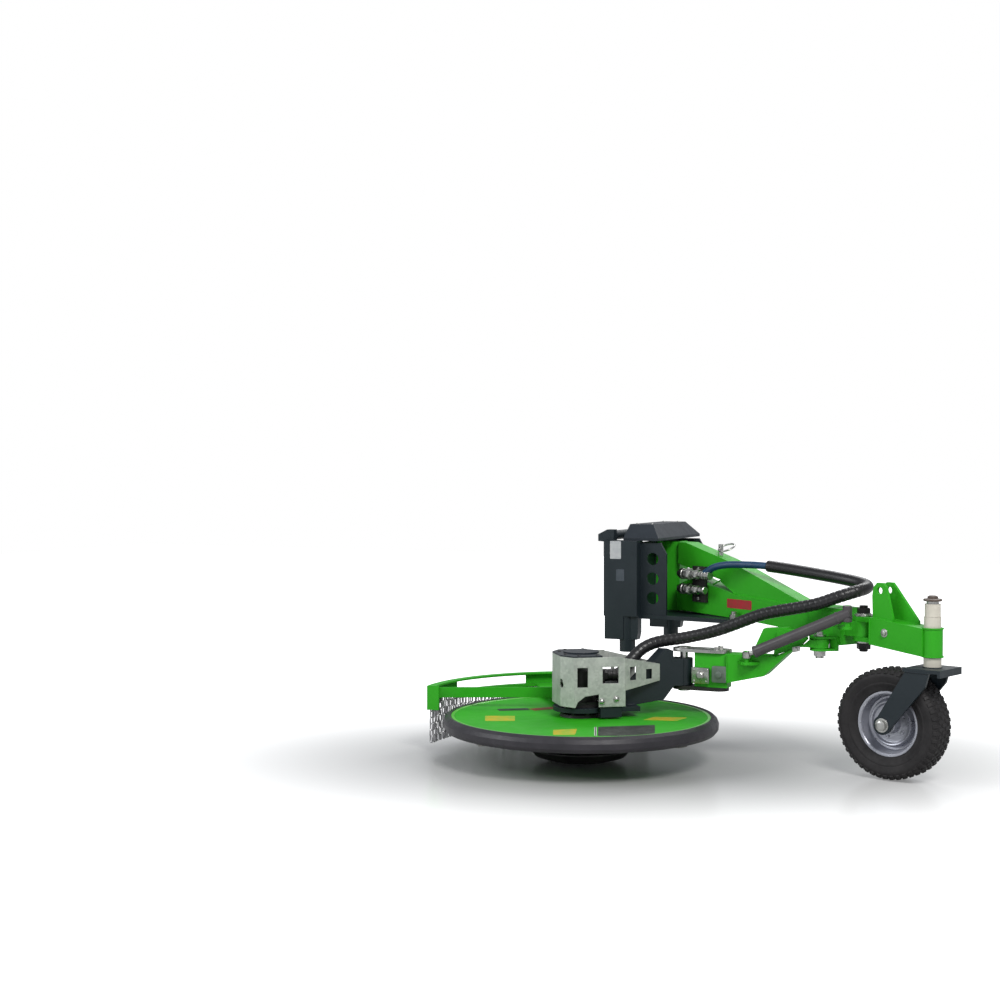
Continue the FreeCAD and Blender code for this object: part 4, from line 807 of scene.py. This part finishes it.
# ---- motor guard -----------------------------------------------------------------------
# A folded, galvanised sheet with windows wraps the motor and is bolted to the cheeks by two round
# heads a side. A dark lid closes its top.
galvanised, n, l, shader = fresh("galvanised")
coords = n.new("ShaderNodeTexCoord")
flakes = n.new("ShaderNodeTexVoronoi")
flakes.inputs["Scale"].default_value = 150.0
l.new(coords.outputs["Object"], flakes.inputs["Vector"])
blotch = noise(n, l, 22.0, 4.0)
both = n.new("ShaderNodeMath")
both.operation = "MULTIPLY_ADD"
both.inputs[1].default_value = 0.45
l.new(flakes.outputs["Color"], both.inputs[0])
l.new(blotch, both.inputs[2])
l.new(ramp(n, l, both.outputs[0], [(0.35, (0.33, 0.355, 0.325)), (0.95, (0.51, 0.535, 0.495))]),
      shader.inputs["Base Color"])
l.new(ramp(n, l, flakes.outputs["Color"], [(0.1, 0.40), (0.9, 0.56)]), shader.inputs["Roughness"])
shader.inputs["Metallic"].default_value = 0.3
relief(n, l, shader, noise(n, l, 90.0, 4.0), 0.0003)
dress(galvanised, "motor_guard")
dress(hood_coat, "guard_cap")

GUARD_FACE = 86
LID_TOP = -168
bm = bmesh.new()
for side in (-1, 1):
    for x, z in ((-36, -290), (-76, -284)):
        face = at_motor @ facing(mm(x, side * GUARD_FACE, z), (0, side, 0))
        stamp(bm, spun([(0, 0), (9, 0), (9, 1.4), (0, 1.4)], 28), face)
        stamp(bm, spun([(0, 5.6), (3.6, 5.2), (6, 3.4), (6.6, 1.4), (0, 1.4)], 24), face)
fixed("guard_bolts", bm, zinc, "head", "bright_steel")
bm = bmesh.new()
for x, y in ((50, 34), (50, -34), (-26, 74), (-26, -74), (24, 74), (24, -74)):
    stamp(bm, pan_head, at_motor @ at(x, y, LID_TOP))
fixed("lid_screws", bm, dark, "head", "dark_steel")


# ---- guard band ------------------------------------------------------------------------
# A rolled green band of rail, ribs and a chain strip shields the side towards the loader, with a
# straight wall across its left end. A flat bar carries it over the deck, bolted to the plate.
dress(green, "guard_band", "band_bracket")
BAND_R = 437
bracket = centre @ Matrix.Rotation(HEAD_HEADING - math.pi / 2, 4, "Z")
bm = bmesh.new()
for y in (-17, 17):
    for x in (84, 112):
        stamp(bm, hexagon(13, 7), bracket @ at(x, y, MOTOR_PLATE_TOP))
fixed("bracket_bolts", bm, zinc, "head", "bright_steel")
bm = bmesh.new()
for inset, z in ((21, MOTOR_PLATE_TOP), (19, MOTOR_PLATE_TOP - 8)):
    weld(bm, (BAND_R - inset, -25, z), (BAND_R - inset, 25, z), size=2.4, place=bracket)
fixed("bracket_welds", bm, green, "head", "green_paint")


# ---- chain curtain ---------------------------------------------------------------------
# Short plated chains hang side by side from the strip inside the band's lower edge and stop what
# the blades throw. Each has seven welded oval links, every other one turned a quarter.
chain_plating = surface("chain_plating", [(0.3, (0.58, 0.58, 0.59)), (0.75, (0.36, 0.35, 0.36))], (70.0, 4.0),
                        [(0.3, 0.28), (0.7, 0.5)], (200.0, 3.0), (500.0, 2.0), 0.0002, 0.0004, Metallic=0.9)

WIRE_R = 1.9
LINK_BEND = 4.4
LINK_HALF = 5.2
LINKS = 7
PITCH = 17.4
CHAIN_R = 426
CHAIN_TOP = -316
CHAINS = 76
FIRST_BEARING = 84.7
LAST_BEARING = 187.3
bm = bmesh.new()
bmesh.ops.create_circle(bm, segments=5, radius=WIRE_R / 1000,
                        matrix=at(LINK_BEND, 0, 0) @ UPRIGHT @ Matrix.Rotation(math.pi, 4, "Y"))
bmesh.ops.rotate(bm, verts=bm.verts, cent=(0, 0, 0), matrix=Matrix.Rotation(math.pi / 8, 3, "Z"))
bmesh.ops.spin(bm, geom=list(bm.verts) + list(bm.edges), cent=(0, 0, 0), axis=(0, 0, 1), angle=math.tau,
               steps=8, use_merge=True)
for v in bm.verts:
    v.co.y += math.copysign(LINK_HALF / 1000, v.co.y)
bmesh.ops.rotate(bm, verts=bm.verts, cent=(0, 0, 0), matrix=Matrix.Rotation(math.pi / 2, 3, "X"))
link = shape_of(bm, "link")

swing = random.Random(5)
bm = bmesh.new()
for i in range(CHAINS):
    bearing = math.radians(FIRST_BEARING + (LAST_BEARING - FIRST_BEARING) * i / (CHAINS - 1))
    hang = centre @ Matrix.Rotation(bearing, 4, "Z") @ at(CHAIN_R + (i % 2) * 3 - 1.5, 0, CHAIN_TOP)
    hang = hang @ Matrix.Rotation(swing.uniform(-0.035, 0.035), 4, "X")
    twist = swing.uniform(0, math.pi)
    for j in range(LINKS):
        quarter = Matrix.Rotation(twist + j * math.pi / 2 + swing.uniform(-0.25, 0.25), 4, "Z")
        stamp(bm, link, hang @ at(0, 0, -5 - j * PITCH) @ quarter)
fixed("guard_chains", bm, chain_plating, "head", "chain_steel", "chain_curtain", crease=60)


# ---- cutter deck -----------------------------------------------------------------------
# A round steel deck, gloss green with a lighter rim line and plain coloured patches, turns freely
# on the spindle housing. Its hub has a ring of bolts.
deck_coat = coated("deck_coat", (0.024, 0.35, 0.009), (0.036, 0.40, 0.014), (0.42, 0.54), coat=0.0,
                   gloss=0.20, peel=0.0001)
dress(deck_coat, "deck_disc")
dress(dark, "deck_hub")
DECK_TOP = -338
DECK_R = 349
rim_green = coated("rim_green", (0.10, 0.50, 0.05), (0.16, 0.56, 0.09), (0.28, 0.40), coat=0.3, gloss=0.4)
bm = bmesh.new()
stamp(bm, spun([(DECK_R - 9, 0), (DECK_R - 0.3, 0), (DECK_R - 0.3, 1.5), (DECK_R - 1, 2.2),
                (DECK_R - 7.6, 2.2), (DECK_R - 9, 1)], 144), centre @ at(0, 0, DECK_TOP))
fixed("deck_rim", bm, rim_green, "deck", "green_paint")
bm = bmesh.new()
for k in range(8):
    turn = centre @ spoke(k, 8)
    stamp(bm, hexagon(10, 5), turn @ at(48, 0, DECK_TOP + 8))
fixed("hub_bolts", bm, dark, "deck", "dark_steel")


def patches(name, colour, faded, outlines):
    """Thin plain patches laid on the deck, each from its corners in plan, in millimetres."""
    mat = surface(name, [(0.36, colour), (0.66, faded)], (26.0, 6.0, 0.7), [(0.3, 0.44), (0.7, 0.56)],
                  (90.0, 3.0), (260.0, 2.0), 0.0001, 0.0002, Specular_IOR_Level=0.22)
    bm = bmesh.new()
    for outline in outlines:
        stamp(bm, plate(outline, 0.5, 4.0), at(0, 0, DECK_TOP))
    fixed(name, bm, mat, "deck", "green_paint")


def bar(x0, y0, x1, y1, width):
    """The corners of a straight bar between two points."""
    along = Vector((x1 - x0, y1 - y0)).normalized() * width / 2
    return [(x0 + along.y, y0 - along.x), (x1 + along.y, y1 - along.x),
            (x1 - along.y, y1 + along.x), (x0 - along.y, y0 + along.x)]


patches("dark_patches", (0.012, 0.016, 0.014), (0.050, 0.056, 0.050),
        [bar(-252, -595, -182, -545, 34), [(100, -738), (222, -647), (276, -802), (148, -862)]])
patches("red_patches", (0.24, 0.020, 0.016), (0.15, 0.055, 0.018), [bar(-170, -552, -110, -472, 36)])
patches("yellow_patches", (0.55, 0.40, 0.02), (0.22, 0.46, 0.03),
        [[(-240, -703), (-167, -669), (-133, -744), (-204, -777)],
         [(13, -829), (62, -789), (91, -873), (42, -897)],
         [(167, -585), (252, -560), (262, -500), (179, -525)]])
patches("pale_line", (0.60, 0.62, 0.58), (0.50, 0.54, 0.48), [bar(94, -742, 142, -864, 6)])


# ---- rubber edge -----------------------------------------------------------------------
# A thick moulded rubber bumper is drawn over the deck's edge, so that the deck rolls along posts
# instead of scraping them.
edge_rubber = moulded("edge_rubber", (0.018, 0.017, 0.022), (0.034, 0.031, 0.038), (0.36, 0.50), 40.0,
                      depth=0.0006)
dress(edge_rubber, "rubber_ring")


# ---- cutter and gliding disc -----------------------------------------------------------
# Under the deck a dark steel disc carries three bolted blades, worn bright by the grass, and a
# dished disc below them glides on the ground. Six bolts join the two discs round the shaft.
dress(zinc, "cutter_shaft")
dress(dark, "cutter_disc", "gliding_disc")
BOLT_SEAT = -421.8
worn = bare("worn_steel", (0.16, 0.15, 0.14), (0.34, 0.33, 0.31), (0.30, 0.52), 120.0, metallic=0.9)
dress(worn, "cutter_blades")
bm = bmesh.new()
for bearing in (112, 232, 352):
    turn = centre @ Matrix.Rotation(math.radians(bearing), 4, "Z")
    stamp(bm, hexagon(16, 7), turn @ at(150, 0, -380))
for k in range(6):
    turn = centre @ spoke(k, 6)
    stamp(bm, hexagon(13, 6), turn @ facing(mm(28, 0, BOLT_SEAT), (0, 0, 1)))
fixed("cutter_bolts", bm, worn, "cutter", "dark_steel")


# ---- hoses -----------------------------------------------------------------------------
# A blue line leaves the upper coupler and runs into a thick black sleeve, which crosses over the
# beam's end and doubles back, wrapped in a spiral, along the swing arm to the motor.
def line_through(points):
    """Points along the smooth line that a hose takes through its route."""
    curve = bpy.data.curves.new("route", "CURVE")
    curve.dimensions = "3D"
    curve.resolution_u = 32
    line = curve.splines.new("NURBS")
    line.points.add(len(points) - 1)
    for spot, place in zip(line.points, points):
        spot.co = (*place, 1)
    line.order_u = 3
    line.use_endpoint_u = True
    holder = bpy.data.objects.new("route", curve)
    mesh = bpy.data.meshes.new_from_object(holder)
    places = [v.co.copy() for v in mesh.vertices]
    bpy.data.meshes.remove(mesh)
    bpy.data.objects.remove(holder)
    bpy.data.curves.remove(curve)
    return places


def evenly(places, step):
    """The same line in equal short steps."""
    spots = [places[0]]
    left = step
    for a, b in zip(places, places[1:]):
        span = (b - a).length
        gone = 0.0
        while span - gone >= left:
            gone += left
            spots.append(a.lerp(b, gone / span))
            left = step
        left -= span - gone
    return spots


def hose(bm, spots, step, size, sides=20):
    """A closed tube along a line; size gives its radius at a distance and a share of a turn."""
    turn = (spots[1] - spots[0]).to_track_quat("Z", "X")
    before = None
    for i, spot in enumerate(spots):
        ahead = spots[min(i + 1, len(spots) - 1)] - spots[max(i - 1, 0)]
        turn = (turn @ Vector((0, 0, 1))).rotation_difference(ahead) @ turn
        ring = bmesh.ops.create_circle(bm, segments=sides, radius=1, cap_ends=i in (0, len(spots) - 1),
                                       matrix=Matrix.Translation(spot) @ turn.to_matrix().to_4x4())["verts"]
        edges = list({e for v in ring for e in v.link_edges})
        for k, v in enumerate(ring):
            v.co = spot + (v.co - spot) * size(i * step, k / sides) / 1000
        if before:
            bmesh.ops.bridge_loops(bm, edges=before + edges)
        before = edges


def laid(name, bm, mat, slot, *stands_for):
    """Makes a piece of a length of hose, not yet fixed to a body."""
    mesh = shape_of(bm)
    bm = bmesh.new()
    bm.from_mesh(mesh)
    return fixed(name, bm, mat, None, slot, *stands_for, crease=50)


STEP = 0.0015
LINE_R = 10.0
LAP = 8
PORT_END = 6
SLEEVE_R = 16.4
SPIRAL_PITCH = 0.015
GROOVE = 1.1
along_beam = [(224, -72, 22), (240, -72, 32), (268, -68, 48), (310, -60, 56), (356, -46, 58), (420, -22, 58),
              (490, 8, 50), (560, 36, 40), (620, 56, 32), (672, 67, 25), (716, 66, 18), (746, 38, 13),
              (748, -6, 6), (722, -46, -8)]
over_pivot = [mm(594, -408, -28), mm(534, -404, -42), mm(482, -402, -52), mm(434, -402, -63),
              mm(374, -403, -88), mm(312, -406, -113), mm(222, -408, -136)]
down_head = [(36, -22, -142), (76, -39, -151), (112, -38, -168), (146, -26, -198), (178, -12, PORT_Z),
             (206, 0, PORT_Z), (231, 0, PORT_Z)]
route = [beam @ mm(*p) for p in along_beam] + over_pivot + [from_barrel @ mm(*p) for p in down_head]
spots = evenly(line_through(route), STEP)
apex = max(range(len(spots)), key=lambda i: (beam.inverted() @ spots[i]).x)
handover = min(range(len(spots)), key=lambda i: (spots[i] - (over_pivot[4] + over_pivot[5]) / 2).length)
sleeve_start = min(range(len(spots)), key=lambda i: (spots[i] - beam @ mm(430, -18, 57)).length)

blue_rubber = surface("blue_line", [(0.3, (0.006, 0.036, 0.092)), (0.75, (0.010, 0.056, 0.13))], (30.0, 4.0),
                      [(0.3, 0.30), (0.7, 0.44)], (80.0, 3.0), (500.0, 2.0), 0.0002)
bm = bmesh.new()
hose(bm, spots[LAP:sleeve_start + LAP], STEP, lambda s, turn: LINE_R)
blue = laid("blue_line", bm, blue_rubber, "hose_rubber")
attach(blue, "frame")

hose_rubber = moulded("hose_rubber", (0.006, 0.006, 0.007), (0.015, 0.014, 0.016), (0.30, 0.42), depth=0.0003)
bm = bmesh.new()
hose(bm, spots[sleeve_start:apex + 1], STEP, lambda s, turn: SLEEVE_R - 1.6 * (1 - min(1.0, s / 0.004)), 24)
feed = laid("feed_sleeve", bm, hose_rubber, "hose_rubber", "loop_hose")
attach(feed, "frame")


def wrapped(s, turn):
    """Radius of the sleeve under a flat spiral wrap, with a groove between its turns."""
    phase = (s / SPIRAL_PITCH - turn) % 1
    return SLEEVE_R - GROOVE + GROOVE * min(1.0, 6 * min(phase, 1 - phase))


bm = bmesh.new()
hose(bm, spots[apex:handover + 1], STEP, wrapped, 24)
back = laid("return_sleeve", bm, hose_rubber, "hose_rubber", "arm_hose")
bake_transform(back)

bm = bmesh.new()
hose(bm, spots[handover:-PORT_END], STEP, wrapped, 24)
last = laid("motor_sleeve", bm, hose_rubber, "hose_rubber", "head_hose")
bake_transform(last)
